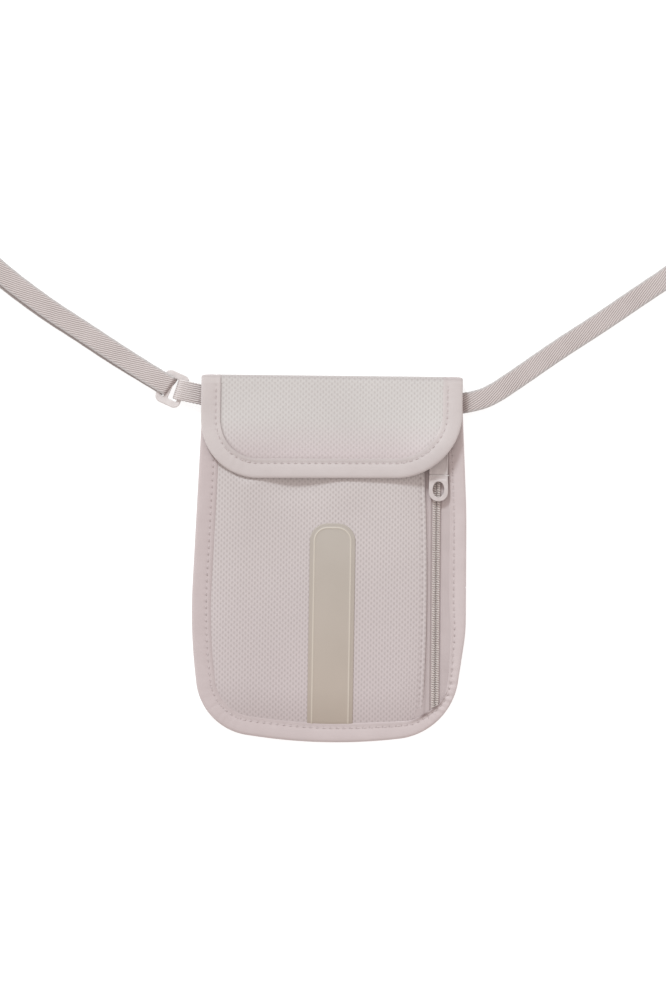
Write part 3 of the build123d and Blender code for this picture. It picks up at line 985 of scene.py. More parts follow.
def make_body_binding():
    """Tape folded over the sides and base, stitched, narrower in the bottom right corner, with painted shade along its
    inner edge that is darkest in the corner's crease.
    """
    right_corner, left_corner = 166, 300
    line = body_line(0.6)
    run = lengths_along(line)
    widths = np.interp(run, BIND_PLACES, BIND_WIDTHS)

    def pucker(at):
        corner = bell(at - right_corner, 16)
        other = bell(at - left_corner, 26)
        small = 0.012 * np.sin(TURN * at / STITCH_PITCH)
        folds = np.sin(TURN * at / 4.6) * np.sin(TURN * at / 17.0 + 0.8)
        return small + (0.34 * corner + 0.08 * other) * folds

    rings, uv, dark = binding_rings(line, widths, BODY_SECTION, STITCH_SHARE, pucker)
    shares = np.array([f for f, _ in BODY_SECTION])
    corner = bell(run - right_corner - 10, 13, 4)
    lip = ease((shares - 0.72) / 0.2) * (rings[..., 2] > 5.0)
    rings[..., 2] += 0.55 * corner[:, None] * lip
    # painted shade: a dark band along the binding's inner edge, much darker where its lip lifts in the bottom right
    # corner
    crease_shade = corner * (1.0 + 0.35 * np.sin(run / 1.5))
    dark = np.maximum(dark, (0.2 + crease_shade[:, None]) * ease((shares - 0.82) / 0.06))
    piece = swept_loop("edge_binding", rings, TAPE, uv, dark)
    finish_piece(piece, "root", "binding_tape", "body_binding")
    groove = line + inward(line) * (STITCH_SHARE * widths)[:, None]
    path = np.column_stack([groove, np.full(len(groove), STITCH_Z)])
    thread_piece("edge_stitches", path, "root", "binding_tape")


FLAP_SECTION = [
    (1.00, 9.90), (1.00, 10.45), (0.98, 10.57), (0.94, 10.63), (0.88, 10.64), (0.82, 10.58),
    (0.76, 10.50), (0.70, 10.60), (0.58, 10.72), (0.38, 10.74), (0.20, 10.70), (0.10, 10.58),
    (0.04, 10.38), (0.01, 10.12), (0.00, 9.80), (0.01, 9.50), (0.05, 9.25), (0.12, 9.05),
    (0.30, 8.92), (0.60, 8.92), (0.85, 8.95), (1.00, 9.15), (0.90, 9.40), (0.20, 9.40),
    (0.10, 9.80), (0.20, 10.10), (0.90, 10.00),
]
FLAP_STITCH_SHARE = 0.76


def make_flap_binding():
    """Tape folded over the flap's sides and hem, following how they hang, with painted shade along the hem's inner
    edge and a painted shadow line on the left side.
    """
    line = flap_line(0.6)
    run = lengths_along(line)
    widths = np.full(len(line), FLAP_BIND_W)

    def pucker(at):
        share = at / run[-1]
        corners = bell(share - 0.26, 0.05) + bell(share - 0.74, 0.05)
        small = 0.01 * np.sin(TURN * at / STITCH_PITCH)
        return small + 0.05 * corners * np.sin(TURN * at / 6.1)

    rings, uv, dark = binding_rings(line, widths, FLAP_SECTION, FLAP_STITCH_SHARE, pucker)
    rings[..., 2] += flap_z(rings[..., 0], rings[..., 1]) - FLAP_Z
    shares = np.array([f for f, _ in FLAP_SECTION])
    near_hem = ease((64 - line[:, 1]) / 10)[:, None]
    dark = dark * (0.45 + 0.55 * near_hem)
    # painted shade along the inner edge of the hem, which takes away the welt's highlight
    inside = 0.22 * ease((shares - 0.79) / 0.03) + 0.2 * ease((shares - 0.93) / 0.04)
    dark = np.maximum(dark, inside[None, :] * near_hem)
    # painted shadow: a dark line at the very inner edge of the left side
    left = (line[:, 0] < 0) * ease((line[:, 1] - 50) / 10)
    dark = np.maximum(dark, ease((shares - 0.985) / 0.01)[None, :] * left[:, None])
    # a little darker all along the hem, and more at the right corner
    right_corner = mound(line[:, 0] - 56, line[:, 1] - 50, (14, 10))
    dark = np.maximum(dark, 0.06 * near_hem + 0.14 * right_corner[:, None])
    piece = swept_loop("flap_edge_binding", rings, FLAP_TAPE, uv, dark)
    finish_piece(piece, "flap", "binding_tape", "flap_binding")
    groove = line + inward(line) * FLAP_STITCH_SHARE * FLAP_BIND_W
    z = flap_z(groove[:, 0], groove[:, 1]) - FLAP_Z + FLAP_STITCH_Z
    thread_piece("flap_stitches", np.column_stack([groove, z]), "flap", "binding_tape")


def flap_columns():
    """Where the flap's mesh fabric has its points across, the same on both sides of the fold."""
    reach = 43 * CELL[0] / 2
    return np.arange(-reach, reach + 0.1, CELL[0] / 4)


def make_flap_shell():
    """Padded mesh flap, from its binding to the start of the fold, with a painted shadow line beside the binding on
    the left.
    """
    columns = flap_columns()
    rows = np.arange(HINGE_Y - 64 * CELL[1] / 4, HINGE_Y + 0.01, CELL[1] / 4)
    px, py, faces = grid_points(columns, rows)
    inset = flap_inset(px, py)
    shown = ease((inset - 9.5) / 2.5)
    top = flap_z(px, py) - FLAP_DOT_DEPTH * dots(px, py) * shown - 0.2 * (1 - ease((inset - 9.5) / 3))
    points = np.stack([px, py, top], axis=1)
    uv = points[:, :2]
    # painted shadow: a thin dark line on the mesh along the inner edge of the left binding
    crease_shade = bell(inset - FLAP_BIND_W, 0.6) * (px < 0) * ease((py - 50) / 10)
    points, faces, uv, crease_shade = keep_points(points, faces, inset > 6.5, uv, crease_shade)
    piece = sheet_piece("flap_shell", points, faces, FLAP_T, FLAP_MESH, uv, crease_shade)
    finish_piece(piece, "flap", "mesh_fabric", "flap_panel")
    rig.padded(piece, 0.3)


def make_flap_lining():
    """Lining under the flap."""
    px, py, faces = grid_points(np.arange(-66, 66.1, 2.0), np.arange(44, HINGE_Y + 0.1, 1.9))
    z = flap_z(px, py) - FLAP_Z + FLAP_LINING_Z
    points = np.stack([px, py, z], axis=1)
    uv = points[:, :2]
    points, faces, uv = keep_points(points, faces, flap_inset(px, py) > 6.0, uv)
    piece = sheet_piece("flap_lining_cloth", points, faces, 0.28, LINING, uv)
    finish_piece(piece, "flap", "lining_fabric", "flap_lining")
    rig.sheet(piece, (0.127, 0.044), "stretched", "flap_shell", LINING_AREAS[2])


def fold_section(step):
    """Outer line of the fold in (Y, Z), from the flap round the top edge to the back, its
    normals and how far along it each point is."""
    centre_z = FLAP_Z - FOLD_R
    angles = np.radians(np.linspace(90, -90, 181))
    power = 2 / FOLD_SQUARE
    out = FOLD_R * np.abs(np.cos(angles)) ** power
    up = FOLD_R * np.sign(np.sin(angles)) * np.abs(np.sin(angles)) ** power
    arc = np.stack([HINGE_Y + out, centre_z + up], axis=1)
    end = (BODY_TOP_Y - 1, centre_z - FOLD_R)
    line = resample([*arc, end], step)
    return line, -inward(line), lengths_along(line)


def fold_sheet(name, columns, material, slot, proud, dotted, *nodes):
    """A strip of the fold between the given columns, bent with the flap, with painted shade where it turns over the
    top edge.
    """
    line, normal, along = fold_section(0.7)
    px, row, faces = grid_points(columns, np.arange(len(line)))
    out = proud(px)
    if dotted:
        out = out - FLAP_DOT_DEPTH * dots(px, HINGE_Y + along[row]) * (along[row] < 15)
    dip = 0.35 * np.clip((np.abs(px) - 56) / 13.5, 0, 1) ** 2 + 0.1 - 0.005 * px
    dip = dip * np.clip(normal[row, 0], 0, 1)
    # painted shadow line along the inner edge of the left binding, and painted shade over the part of the fold that
    # faces out over the top edge
    left_shadow_line = 0.8 * bell(px + FLAP_HALF_W - FLAP_BIND_W, 0.3)
    shade = np.maximum(0.62 * ease(normal[row, 0] / 0.45), left_shadow_line)
    yz = line[row] + normal[row] * out[:, None]
    yz[:, 0] -= dip
    inner = line[row] - normal[row] * FOLD_T
    inner[:, 0] -= dip
    points = np.column_stack([px, yz])
    below = np.column_stack([px, inner])
    uv = np.stack([px, HINGE_Y + along[row]], axis=1)
    piece = sheet_piece(name, points, faces, below, material, uv, shade)
    finish_piece(piece, None, slot, *nodes)
    start = (0, HINGE_Y * MM, 0.0009)
    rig.blend(piece, "root", "flap", start=start, end=(0, HINGE_Y * MM, 0.009))


def make_fold():
    """Mesh fabric over the fold, with its bound sides."""
    inner = FLAP_HALF_W - FLAP_BIND_W + 1.6
    columns = flap_columns()
    columns = columns[np.abs(columns) < inner]
    fold_sheet("fold_shell", columns, FLAP_MESH, "mesh_fabric", np.zeros_like, True, "flap_fold")
    upper = [(share, z - FLAP_Z) for share, z in FLAP_SECTION[:15]][::-1]
    shares, rises = zip(*upper)

    def tape_rise(x):
        return np.interp((FLAP_HALF_W - np.abs(x)) / FLAP_BIND_W, shares, rises)

    for side, name in ((-1, "fold_binding_left"), (1, "fold_binding_right")):
        columns = np.sort(side * (FLAP_HALF_W - np.array(sorted(set(shares))) * FLAP_BIND_W))
        fold_sheet(name, columns, FLAP_TAPE, "binding_tape", tape_rise, False)


# ---------------------------------------------------------------- mouth, label and patches


def make_mouth_binding():
    """Tape folded over the top edge of the front."""
    half, width = MOUTH_HALF_W, MOUTH_BIND_W
    section = [
        (0.0, -FRONT_T - 0.3), (-width, -FRONT_T - 0.3), (-width, -FRONT_T), (-0.5, -FRONT_T),
        (-0.2, -0.5), (-0.5, 0.05), (-width, 0.05), (-width + 0.1, 0.3), (-width + 1.2, 0.35),
        (-width + 2.0, 0.2), (-width + 3.0, 0.33), (-1.0, 0.33), (-0.1, 0.25), (0.3, -0.1),
        (0.35, -0.6), (0.3, -1.2),
    ]
    across = np.arange(-half, half + 0.1, 1.0)
    base = front_z(across, np.full(len(across), MOUTH_Y - 3))
    rings = np.empty((len(across), len(section), 3))
    for j, (dy, dz) in enumerate(section):
        rings[:, j, 0] = across
        rings[:, j, 1] = MOUTH_Y + dy
        rings[:, j, 2] = base + dz
    uv = np.stack([rings[..., 0], rings[..., 1] + rings[..., 2]], axis=2)
    piece = swept_loop("mouth_edge_binding", rings, TAPE, uv)
    finish_piece(piece, "root", "binding_tape", "mouth_binding")
    path = np.column_stack([across, np.full(len(across), MOUTH_Y - width + 2.0), base + 0.2])
    thread_piece("mouth_stitches", path, "root", "binding_tape")


def loop_points(half_w, y_top, y_low, radius, inset, count):
    """Points round a strip with a rounded top, moved inwards by inset."""
    w = max(half_w - inset, 0.05)
    r = max(min(radius - inset, w), 0.04)
    top = y_top - inset
    corners = [(w - r, top - r, 0, 90), (-(w - r), top - r, 90, 180)]
    points = [(w, y_low)]
    for cx, cy, a0, a1 in corners:
        for angle in np.radians(np.linspace(a0, a1, 14)):
            points.append((cx + r * math.cos(angle), cy + r * math.sin(angle)))
    points.append((-w, y_low))
    return resample(points, count=count)


def make_label():
    """Label strip: a film with a raised line inside its margin, following the front; the raised line carries a painted
    highlight.
    """
    half = LABEL_W / 2
    insets = [0.0, 0.0, 0.15, 0.5, 1.2, 1.9, 2.15, 2.35, 2.6, 2.8, 3.1, 4.0, 6.0, 8.0, 10.0, 11.6]
    proud = [-0.4, 0.15, 0.3, 0.34, 0.34, 0.36, 0.5, 0.58, 0.56, 0.44, 0.38, 0.38, 0.4, 0.42, 0.43, 0.43]
    margin = [0.4, 0.4, 0.25, 0.12, 0.1, 0.12, 0.0, 0.0, 0.0, 0.04, 0.0, 0.0, 0.0, 0.0, 0.0, 0.0]
    # how much painted highlight each loop of the raised line gets
    raised = [0.0, 0.0, 0.0, 0.0, 0.0, 0.0, 0.5, 1.0, 1.0, 0.3, 0.0, 0.0, 0.0, 0.0, 0.0, 0.0]
    count = 260
    verts, dark, ridge, uv = [], [], [], []
    for inset, up, shade, line in zip(insets, proud, margin, raised):
        loop = loop_points(half, LABEL_TOP_Y, LABEL_END_Y, LABEL_TOP_R, inset, count)
        x = loop[:, 0] + LABEL_X
        y = loop[:, 1]
        sink = 0.5 * ease((-87.2 - y) / 2.5)
        verts.append(np.column_stack([x, y, front_z(x, y) + up - sink]))
        dark.append(np.full(count, shade))
        ridge.append(np.full(count, line))
        uv.append(loop)
    faces = grid_faces(len(insets), count)
    first = (len(insets) - 1) * count
    near = np.arange(count // 2 - 1)
    middle = np.stack([near, near + 1, count - 2 - near, count - 1 - near], axis=1) + first
    faces = np.concatenate([faces, middle])
    values = [np.concatenate(part) for part in (verts, uv, dark, ridge)]
    piece = mesh_object("label_strip", values[0], faces, LABEL, *values[1:])
    finish_piece(piece, "root", "label_plastic", "label_patch")


def patch_piece(name, body, base, up, pile, node):
    """Closure patch: a woven ground with its pile of hooks or loops on the outer side."""
    w, h = PATCH_SIZE
    columns = np.arange(-w / 2, w / 2 + 0.1, 0.5)
    px, py, faces = grid_points(columns, np.arange(-h / 2, h / 2 + 0.1, 0.5))
    edge = np.minimum(w / 2 - np.abs(px), h / 2 - np.abs(py))
    rough = rng.random(len(px))
    if pile == "hook":
        rough = (np.cos(TURN * px) * np.cos(TURN * py) + 1) / 2
    rise = 0.12 + 0.13 * rough * (edge > 1.2)
    z = base(px, py + PATCH_Y)
    top = np.column_stack([px, py + PATCH_Y, z + up * rise])
    low = np.column_stack([px, py + PATCH_Y, z])
    if up < 0:
        faces = faces[:, ::-1]
    beyond = np.clip([np.abs(px) - (w / 2 - 2), np.abs(py) - (h / 2 - 2)], 0, 9)
    corner = np.hypot(*beyond) < 2.3
    uv = np.stack([px, py], axis=1)
    top, faces, low, uv = keep_points(top, faces, corner, low, uv)
    piece = sheet_piece(name, top, faces, low, CLOSURE, uv)
    finish_piece(piece, body, "closure", node)


def make_patches():
    """Loop patch on the front and hook patch under the flap."""

    def lining_z(x, y):
        return flap_z(x, y) - FLAP_Z + HOOK_PATCH_Z

    patch_piece("loop_side", "root", front_z, 1, "loop", "loop_patch")
    patch_piece("hook_side", "flap", lining_z, -1, "hook", "hook_patch")


# ---------------------------------------------------------------- zip


def make_zip_tapes():
    """Woven tapes of the zip, with a groove beside the coil and a raised cord next to it, and painted shade in the
    groove, under the front's folded edge and towards the lower end.
    """
    reaches = {"left": (-10.5, -0.35), "right": (0.35, 9.5)}
    rows = np.arange(TAPE_ENDS[0], TAPE_ENDS[1] + 0.1, 1.0)
    for side, (near, far) in reaches.items():
        across, y, faces = grid_points(np.linspace(0, 1, 40), rows)
        x = zip_x(y) + near + across * (far - near)
        off = np.abs(x - zip_x(y))
        groove = bell(off - COIL_HALF_W - 0.3, 0.42)
        step = bell(x - panel_edge_x(y) - 0.7, 0.6)
        cord = bell(off - COIL_HALF_W - 0.95, 0.4)
        z = TAPE_Z - 0.3 * groove + 0.1 * cord + 0.1 * np.sin(y / 11.0) * ease((off - 3) / 3)
        low_end_shade = ease((-35 - y) / 50) * ease((off - COIL_HALF_W) / 0.5)
        points = np.stack([x, y, z], axis=1)
        uv = np.stack([y, x], axis=1)
        # painted shade: dark in the groove, under the step of the front's edge, and towards the lower end
        dark = 0.75 * groove + 0.3 * step + 0.16 * low_end_shade
        points, faces, uv, dark = keep_points(points, faces, body_inset(x, y) > 2.0, uv, dark)
        piece = sheet_piece(f"tape_{side}", points, faces, 0.45, ZIP_TAPE, uv, dark)
        finish_piece(piece, "root", "zip_tape", f"zip_tape_{side}")


def make_coils():
    """Two coils of the zip, each a flattened helix sewn to its tape, with painted shade where they meet in the middle.
    """
    per_turn = 12
    turns = int((COIL_ENDS[1] - COIL_ENDS[0]) / COIL_PITCH)
    t = np.arange(turns * per_turn + 1) / per_turn
    angle = TURN * t
    around = np.linspace(0, TURN, 7)[:-1, None]
    for side, name, shift in ((-1, "left", 0.0), (1, "right", 0.5)):
        y = COIL_ENDS[0] + (t + shift) * COIL_PITCH
        reach = (COIL_HALF_W - COIL_WIRE_R - 0.1) / 2
        off = 0.1 + reach * (1 - np.cos(angle))
        path = np.stack([zip_x(y) + side * off, y, COIL_Z + 0.42 * np.sin(angle) * side], axis=1)
        forward = unit_rows(np.gradient(path, axis=0))
        level = unit_rows(np.cross(forward, [0.0, 1.0, 0.0]))
        up = np.cross(level, forward)
        spokes = np.cos(around) * level[:, None] + np.sin(around) * up[:, None]
        rings = path[:, None] + COIL_WIRE_R * spokes
        # painted shade: the coils darken towards the middle of the zip, where they interlock
        shade = np.repeat(0.5 * (1 - ease((off - 0.5) / 0.6)), len(around)).reshape(rings.shape[:2])
        piece = swept_loop(f"coil_{name}", rings, COIL, np.zeros((*rings.shape[:2], 2)), shade)
        finish_piece(piece, "root", "zip_coil", f"zip_coil_{name}")


def outline_radii(outline, centre, angles):
    """How far an outline is from centre in each direction."""
    away = outline - np.array(centre)
    at = np.arctan2(away[:, 1], away[:, 0])
    order = np.argsort(at)
    reach = np.hypot(away[:, 0], away[:, 1])
    return np.interp(angles, at[order], reach[order], period=TURN)


def ring_plate(name, outline, centre, hole, height, under, material, rings=12, edge=0.24):
    """A plate round a hole, between the heights under and height; its upper edge is rounded
    except along the joint of the pull."""
    angles = np.linspace(-math.pi, math.pi, 129)[:-1]
    outer = outline_radii(outline, centre, angles)
    inner = hole[0] * hole[1] / np.hypot(hole[1] * np.cos(angles), hole[0] * np.sin(angles))
    direction = np.stack([np.cos(angles), np.sin(angles)], axis=1)
    loops = []

    def loop(radius, z):
        xy = np.array(centre) + direction * radius[:, None]
        loops.append(np.column_stack([xy, z(xy[:, 0], xy[:, 1]) + np.zeros(len(xy))]))

    def rounding(y):
        return edge * np.clip(np.abs(y - PULL_JOINT_Y) / 0.5 - 0.15, 0.02, 1)

    loop(inner + 0.05, under)
    loop(inner, lambda x, y: under(x, y) + 0.2)
    loop(inner, lambda x, y: height(x, y) - edge)
    loop(inner + 0.3 * edge, lambda x, y: height(x, y) - 0.3 * edge)
    for t in np.linspace(0, 1, rings + 1):
        radius = (inner + edge) * (1 - t) + (outer - edge) * t
        loop(radius, height)
    loop(outer - 0.3 * edge, lambda x, y: height(x, y) - 0.3 * rounding(y))
    loop(outer, lambda x, y: height(x, y) - rounding(y))
    loop(outer, lambda x, y: np.minimum(under(x, y) + 0.2, height(x, y) - rounding(y)))
    loop(outer - 0.15, under)
    verts = np.concatenate(loops)
    count, around = len(loops), len(angles)
    faces = []
    for i in range(count):
        k = (i + 1) % count
        a = np.arange(around)
        b = (a + 1) % around
        faces.append(np.stack([i * around + a, k * around + a, k * around + b, i * around + b], axis=1))
    return mesh_object(name, verts, np.concatenate(faces), material)


def rectangle_outline(x0, x1, y0, y1, low_r, high_r):
    """A closed outline with its own radius at the lower and the upper corners."""
    corners = [(x1, y1, high_r), (x0, y1, high_r), (x0, y0, low_r), (x1, y0, low_r)]
    points = []
    for index, (x, y, r) in enumerate(corners):
        cx = x - math.copysign(r, x - (x0 + x1) / 2)
        cy = y - math.copysign(r, y - (y0 + y1) / 2)
        start = 90 * index
        for angle in np.radians(np.linspace(start, start + 90, 24)):
            points.append((cx + r * math.cos(angle), cy + r * math.sin(angle)))
    return resample([*points, points[0]], 0.1)


def make_pull():
    """Pull tab: a rim round a sunk panel, and a raised lip round the oval hole. Its upper part
    stays on the slider."""
    left = PULL_X - PULL_W / 2
    right = PULL_X + PULL_W / 2
    axis_y, axis_z = PULL_PIVOT
    top, sunk = axis_z + PULL_HALF_T, 0.32
    lip_y = PULL_HOLE_Y + 5.0

    def side_x(y):
        return right - PULL_TAPER * ease((y - PULL_HOLE_Y) / (PULL_JOINT_Y - PULL_HOLE_Y))

    def round_end(y):
        return np.sqrt(np.clip(PULL_HALF_T ** 2 - np.clip(y - axis_y, 0, None) ** 2, 0, None))

    def tab_height(x, y):
        from_side = np.minimum(x - left, side_x(y) - x)
        raised = np.maximum(1 - ease((from_side - 0.7) / 0.35), 1 - ease((y - lip_y) / 0.4))
        return np.minimum(top - sunk + sunk * raised, axis_z + round_end(y))

    def under_lip(x, y):
        return axis_z - round_end(y) - 0.5 * (1 - ease((y - lip_y + 1.5) / 1.5))

    end_y = axis_y + PULL_HALF_T
    outline = rectangle_outline(left, right, PULL_END_Y, end_y, PULL_W / 2 - 0.3, 0.1)
    outline[:, 0] += (side_x(outline[:, 1]) - right) * (outline[:, 0] > PULL_X)
    centre = (PULL_X, PULL_HOLE_Y)
    tab = ring_plate("pull_tab", outline, centre, PULL_HOLE, tab_height, under_lip, PLASTIC, 22)
    finish_piece(tab, "pull", "pull_plastic", "zip_pull")

    def cover_height(x, y):
        from_side = np.minimum(x - left, right - PULL_TAPER - x)
        raised = 1 - ease((np.minimum(from_side, PULL_COVER_END_Y - y) - 0.7) / 0.35)
        return top - sunk + sunk * raised

    def under_cover(x, y):
        return PULL_COVER_UNDER_Z

    outline = rectangle_outline(left, right - PULL_TAPER, PULL_JOINT_Y, PULL_COVER_END_Y, 0.2, 2.5)
    centre = (PULL_X - PULL_TAPER / 2, 52.0)
    cover = ring_plate("pull_upper", outline, centre, (0.05, 0.05), cover_height, under_cover, PLASTIC, 16)
    finish_piece(cover, "zip_slider", "pull_plastic", "pull_cover")


def mesh_of_curve(curve):
    """The mesh of a curve, which is then removed."""
    made = add_object(curve.name, curve)
    bpy.context.view_layer.update()
    mesh = bpy.data.meshes.new_from_object(made)
    bpy.data.objects.remove(made)
    bpy.data.curves.remove(curve)
    return mesh


def curve_mesh(name, outlines, z_middle, thickness, bevel, material):
    """A plate with rounded edges from closed outlines, the first round the others."""
    curve = bpy.data.curves.new(name, "CURVE")
    curve.dimensions = "2D"
    curve.fill_mode = "BOTH"
    curve.extrude = (thickness / 2 - bevel) * MM
    curve.bevel_depth = bevel * MM
    curve.bevel_resolution = 3
    for outline in outlines:
        spline = curve.splines.new("POLY")
        spline.points.add(len(outline) - 1)
        flat = np.column_stack([outline * MM, np.zeros(len(outline)), np.ones(len(outline))])
        spline.points.foreach_set("co", flat.ravel())
        spline.use_cyclic_u = True
    mesh = mesh_of_curve(curve)
    for vertex in mesh.vertices:
        vertex.co.z += z_middle * MM
    mesh.name = name
    mesh.materials.clear()
    mesh.materials.append(material)
    smooth(mesh)
    return add_object(name, mesh)


def make_slider():
    """Slider: upper and lower plates with turned-in flanks, joined by a post beside the coils."""
    (x0, x1), (y0, y1) = SLIDER_X, SLIDER_Y
    plate = rectangle_outline(x0 + 0.15, x1 - 0.15, y0 + 0.15, y1 - 0.15, 1.2, 2.6)[::4]
    parts = [
        curve_mesh("slider_upper_plate", [plate], *SLIDER_UPPER, 0.16, METAL),
        curve_mesh("slider_lower_plate", [plate], *SLIDER_LOWER, 0.16, METAL),
    ]
    post = rectangle_outline(*POST_X, y1 - 2.4, y1 - 0.6, 0.2, 0.2)[::2]
    parts.append(curve_mesh("slider_post", [post], 5.65, 2.3, 0.08, METAL))
    for side, place in (("left", x0 + 0.38), ("right", x1 - 0.38)):
        flank = rectangle_outline(place - 0.22, place + 0.22, y0 + 1.4, y1 - 2.8, 0.2, 0.2)[::2]
        parts.append(curve_mesh(f"slider_flank_{side}", [flank], 6.5, 0.7, 0.08, METAL))
    first = parts[0]
    for part in parts:
        finish_piece(part, "zip_slider", "slider_metal")
    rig.replaces(first, "slider_body")
    pin = frame["nodes"]["pull_pin"]
    pin.data.materials.clear()
    pin.data.materials.append(METAL)
    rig.slot(pin, "slider_metal")


# ---------------------------------------------------------------- strap


def spline_points(name, route, resolution=20):
    """Points along the smooth spline through a route, in millimetres."""
    curve = bpy.data.curves.new(name, "CURVE")
    curve.dimensions = "3D"
    curve.resolution_u = resolution
    spline = curve.splines.new("NURBS")
    spline.points.add(len(route) - 1)
    for point, (x, y, z) in zip(spline.points, route):
        point.co = (x * MM, y * MM, z * MM, 1.0)
    spline.order_u = 3
    spline.use_endpoint_u = True
    mesh = mesh_of_curve(curve)
    points = np.array([v.co for v in mesh.vertices], float) / MM
    bpy.data.meshes.remove(mesh)
    return points


def band_rings(left, right, up, thickness):
    """Rings of a flat band between two edge lines, with rounded edges and a slight crown."""
    across = np.concatenate([[-1.0, -0.985, -0.95], np.linspace(-0.85, 0.85, 9), [0.95, 0.985, 1.0]])
    rise = np.interp(np.abs(across), [0, 0.6, 0.85, 0.95, 0.985, 1.0], [1.0, 1.0, 0.9, 0.75, 0.5, 0.0])
    loop = [*zip(across, rise), *zip(across[-2:0:-1], -rise[-2:0:-1])]
    rings = np.empty((len(left), len(loop), 3))
    uv = np.empty((len(left), len(loop), 2))
    middle = (left + right) / 2
    half = (left - right) / 2
    run = lengths_along(middle)
    for j, (w, r) in enumerate(loop):
        rings[:, j] = middle + half * w + up * (r * thickness / 2)
        uv[:, j, 0] = run
        uv[:, j, 1] = w * np.linalg.norm(half, axis=1) + (20 if r < 0 else 0)
    return rings, uv


def webbing_band(name, route, resolution, scallop, shade):
    """Webbing along a route: the mesh piece and the points that it follows, in metres. It is
    darkened by shade, which is given how far each point is from the two ends."""
    path = spline_points(name + "_line", route, resolution)
    forward = np.gradient(path, axis=0)
    flat = forward[:, :2].copy()
    moving = np.linalg.norm(flat, axis=1) > 0.12 * np.linalg.norm(forward, axis=1)
    for i in range(1, len(flat)):
        if not moving[i]:
            flat[i] = flat[i - 1]
    flat = unit_rows(flat)
    left = np.column_stack([-flat[:, 1], flat[:, 0], np.zeros(len(flat))])
    up = np.cross(unit_rows(forward), left)
    run = lengths_along(path)
    picot = scallop * (np.sin(TURN * run / 1.9) + 0.6 * np.sin(TURN * run / 9.3))
    left_edge = path + left * (WEB_W / 2 + picot)[:, None]
    right_edge = path - left * (WEB_W / 2 - 0.5 * picot)[:, None]
    rings, uv = band_rings(left_edge, right_edge, up, WEB_T)
    dark = np.broadcast_to(shade(run, run[-1] - run)[:, None], rings.shape[:2])
    return swept_loop(name, rings, WEBBING, uv, dark), path * MM


def buckle_point(u, v):
    """The (X, Y) of a point given in the slider's own directions."""
    c, s = math.cos(BUCKLE_ANGLE), math.sin(BUCKLE_ANGLE)
    return np.array([BUCKLE_CENTRE[0] + u * c - v * s, BUCKLE_CENTRE[1] + u * s + v * c])


def make_buckle():
    """Three-bar slider of moulded plastic."""
    length, width = BUCKLE_SIZE
    bevel = 0.45
    u, v = length / 2 - bevel, width / 2 - bevel
    outlines = [rectangle_outline(-u, u, -v, v, 3.0, 3.0)[::4]]
    near = (BUCKLE_BAR - length / 2, BUCKLE_MIDDLE_BAR - BUCKLE_BAR / 2)
    far = (BUCKLE_MIDDLE_BAR + BUCKLE_BAR / 2, length / 2 - BUCKLE_BAR)
    for u0, u1 in (near, far):
        v = width / 2 - BUCKLE_END + bevel
        outlines.append(rectangle_outline(u0 - bevel, u1 + bevel, -v, v, 1.0, 1.0)[::4])
    low, high = BUCKLE_Z
    piece = curve_mesh("strap_slider", outlines, (low + high) / 2, high - low, bevel, BUCKLE)
    for vertex in piece.data.vertices:
        x, y = buckle_point(vertex.co.x / MM, vertex.co.y / MM)
        vertex.co.x = x * MM
        vertex.co.y = y * MM
    return finish_piece(piece, "root", "buckle_plastic", "strap_buckle")


def make_tab():
    """Short webbing loop from the left seam round the near bar of the slider."""
    line = [
        (0.00, 4.4), (0.18, 3.9), (0.40, 3.35), (0.70, 3.25), (0.88, 3.3), (0.97, 3.15),
        (1.03, 2.6), (1.04, 1.9), (1.01, 1.2), (0.93, 0.75), (0.75, 0.65), (0.45, 0.85),
        (0.20, 2.0), (0.00, 3.0),
    ]
    dense = spline_points("tab_line", [(t * TAB_LENGTH, z, 0) for t, z in line], 10)
    t, z = dense[:, 0] / TAB_LENGTH, dense[:, 1]
    edges = []
    for sign, bar in ((1, (-80.8, 94.1)), (-1, (-84.0, 83.5))):
        seam = np.array([TAB_SEAM[0], TAB_SEAM[1] + sign * WEB_W / 2])
        ripple = 0.14 * np.sin(TURN * t * TAB_LENGTH / 2.1)
        xy = seam * (1 - t[:, None]) + np.array(bar) * t[:, None]
        xy[:, 1] += sign * ripple
        edges.append(np.column_stack([xy, z]))
    left, right = edges
    forward = np.gradient((left + right) / 2, axis=0)
    across = left - right
    up = unit_rows(np.cross(forward, across))
    if up[4, 2] < 0:
        up = -up
        left, right = right, left
    rings, uv = band_rings(left, right, up, WEB_T)
    # painted shade: the tab darkens near its seam and where it turns round the slider's bar
    shade = 0.5 * ease((t - 0.99) / 0.03) + 0.35 * (1 - ease((t - 0.26) / 0.06))
    dark = np.broadcast_to(shade[:, None], rings.shape[:2])
    piece = swept_loop("seam_tab", rings, WEBBING_TAB, uv, dark)
    return finish_piece(piece, "root", "webbing", "strap_tab")


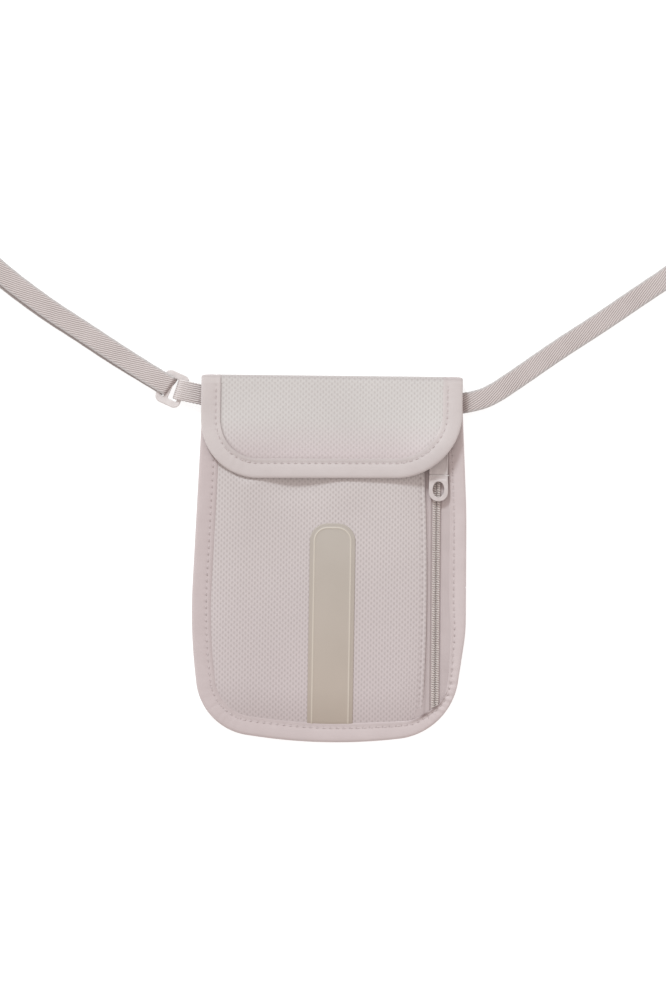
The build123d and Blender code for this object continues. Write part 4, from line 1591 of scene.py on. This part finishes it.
def make_strap():
    """Neck strap, its free end, the slider and the tab that holds it."""
    buckle = make_buckle()
    tab = make_tab()

    # painted shadow: the strap darkens where it comes out from under the flap at the seam and where it goes into the
    # slider
    def strap_shade(from_seam, from_slider):
        return 0.6 * (1 - ease((from_seam - 3.8) / 2.2)) + 0.6 * (1 - ease((from_slider - 1.6) / 1.2))

    # painted shadow: the free end darkens where it lies under the strap
    def tail_shade(from_slider, from_tip):
        return 0.55 * (1 - ease((from_slider - 95) / 20))

    strap, path = webbing_band("strap_webbing", STRAP_ROUTE, 28, 0.07, strap_shade)
    finish_piece(strap, "root", "webbing", "neck_strap")
    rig.cord(
        strap,
        exit=path[0],
        length=0.978,
        diameter=WEB_W * MM,
        far_end="object",
        stiffness="limp",
        lay="loose",
        path=path,
        with_pieces=[buckle, tab],
    )
    tail, path = webbing_band("tail_webbing", TAIL_ROUTE, 24, 0.05, tail_shade)
    finish_piece(tail, "root", "webbing", "strap_tail")
    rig.cord(
        tail,
        exit=path[0],
        length=0.188,
        diameter=WEB_W * MM,
        far_end="bare",
        stiffness="limp",
        lay="loose",
        path=path,
        with_pieces=[buckle],
    )


# ---------------------------------------------------------------- studio


def make_studio():
    """White floor, soft light all round, a key light from the upper left and the camera."""
    floor = Shader("floor", Roughness=0.9, Emission_Color=(1, 1, 1, 1), Emission_Strength=0.76)
    coordinates = floor.node("ShaderNodeTexCoord").outputs["Object"]
    grain = floor.noise(3.0, 2.0, coordinates)
    floor.colour(floor.between(grain, (0.36, 0.36, 0.36, 1), (0.38, 0.38, 0.38, 1)))
    corners = [(x * ROOM, y * ROOM, -0.05) for x, y in ((-1, -1), (1, -1), (1, 1), (-1, 1))]
    ground = mesh_object("floor", corners, [(0, 1, 2, 3)], floor.material)
    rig.stage(ground)
    wall = Shader("wall", Roughness=0.9, Emission_Color=(1, 1, 1, 1), Emission_Strength=1.0)
    wall.colour((0.1, 0.1, 0.1, 1))
    angles = np.linspace(0, TURN, 65)
    circle = np.stack([np.cos(angles), np.sin(angles)], axis=1) * WALL_RADIUS
    levels = [np.column_stack([circle, np.full(len(circle), z)]) for z in (-1.0, WALL_TOP)]
    backdrop = mesh_object("backdrop", np.concatenate(levels), grid_faces(2, len(circle)), wall.material)
    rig.stage(backdrop)

    world = bpy.data.worlds.new("studio")
    world.use_nodes = True
    background = world.node_tree.nodes["Background"]
    background.inputs["Color"].default_value = (1.055, 0.992, 0.966, 1)
    background.inputs["Strength"].default_value = 0.77
    bpy.context.scene.world = world

    key = bpy.data.lights.new("key", "SUN")
    key.energy = 2.3
    key.color = (0.89, 1.017, 1.07)
    key.angle = math.radians(11)
    lamp = add_object("key", key)
    level = math.cos(KEY_ELEVATION)
    across, down = level * math.sin(KEY_FROM_TOP), -level * math.cos(KEY_FROM_TOP)
    toward = Vector((across, down, -math.sin(KEY_ELEVATION)))
    lamp.rotation_euler = toward.to_track_quat("-Z", "Y").to_euler()

    camera = bpy.data.cameras.new("camera")
    camera.sensor_fit = "VERTICAL"
    camera.sensor_height = 24.0
    camera.lens = 71.8
    camera.clip_end = 50.0
    eye = add_object("camera", camera)
    eye.location = (1.45 * MM, 31.0 * MM, 1.6)
    eye.rotation_euler = (0, 0, math.radians(0.9))
    bpy.context.scene.camera = eye
    bpy.context.scene.view_settings.view_transform = "Standard"


make_front_shell()
make_back_shell()
make_linings()
make_body_binding()
make_flap_shell()
make_flap_lining()
make_flap_binding()
make_fold()
make_mouth_binding()
make_label()
make_patches()
make_zip_tapes()
make_coils()
make_slider()
make_pull()
make_strap()
make_studio()
sizes = {"cad": cad_box, "visual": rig.bounds()}
plain = {key: [[float(value) for value in corner] for corner in box] for key, box in sizes.items()}
json.dump(plain, open(SIZE_FILE, "w"))
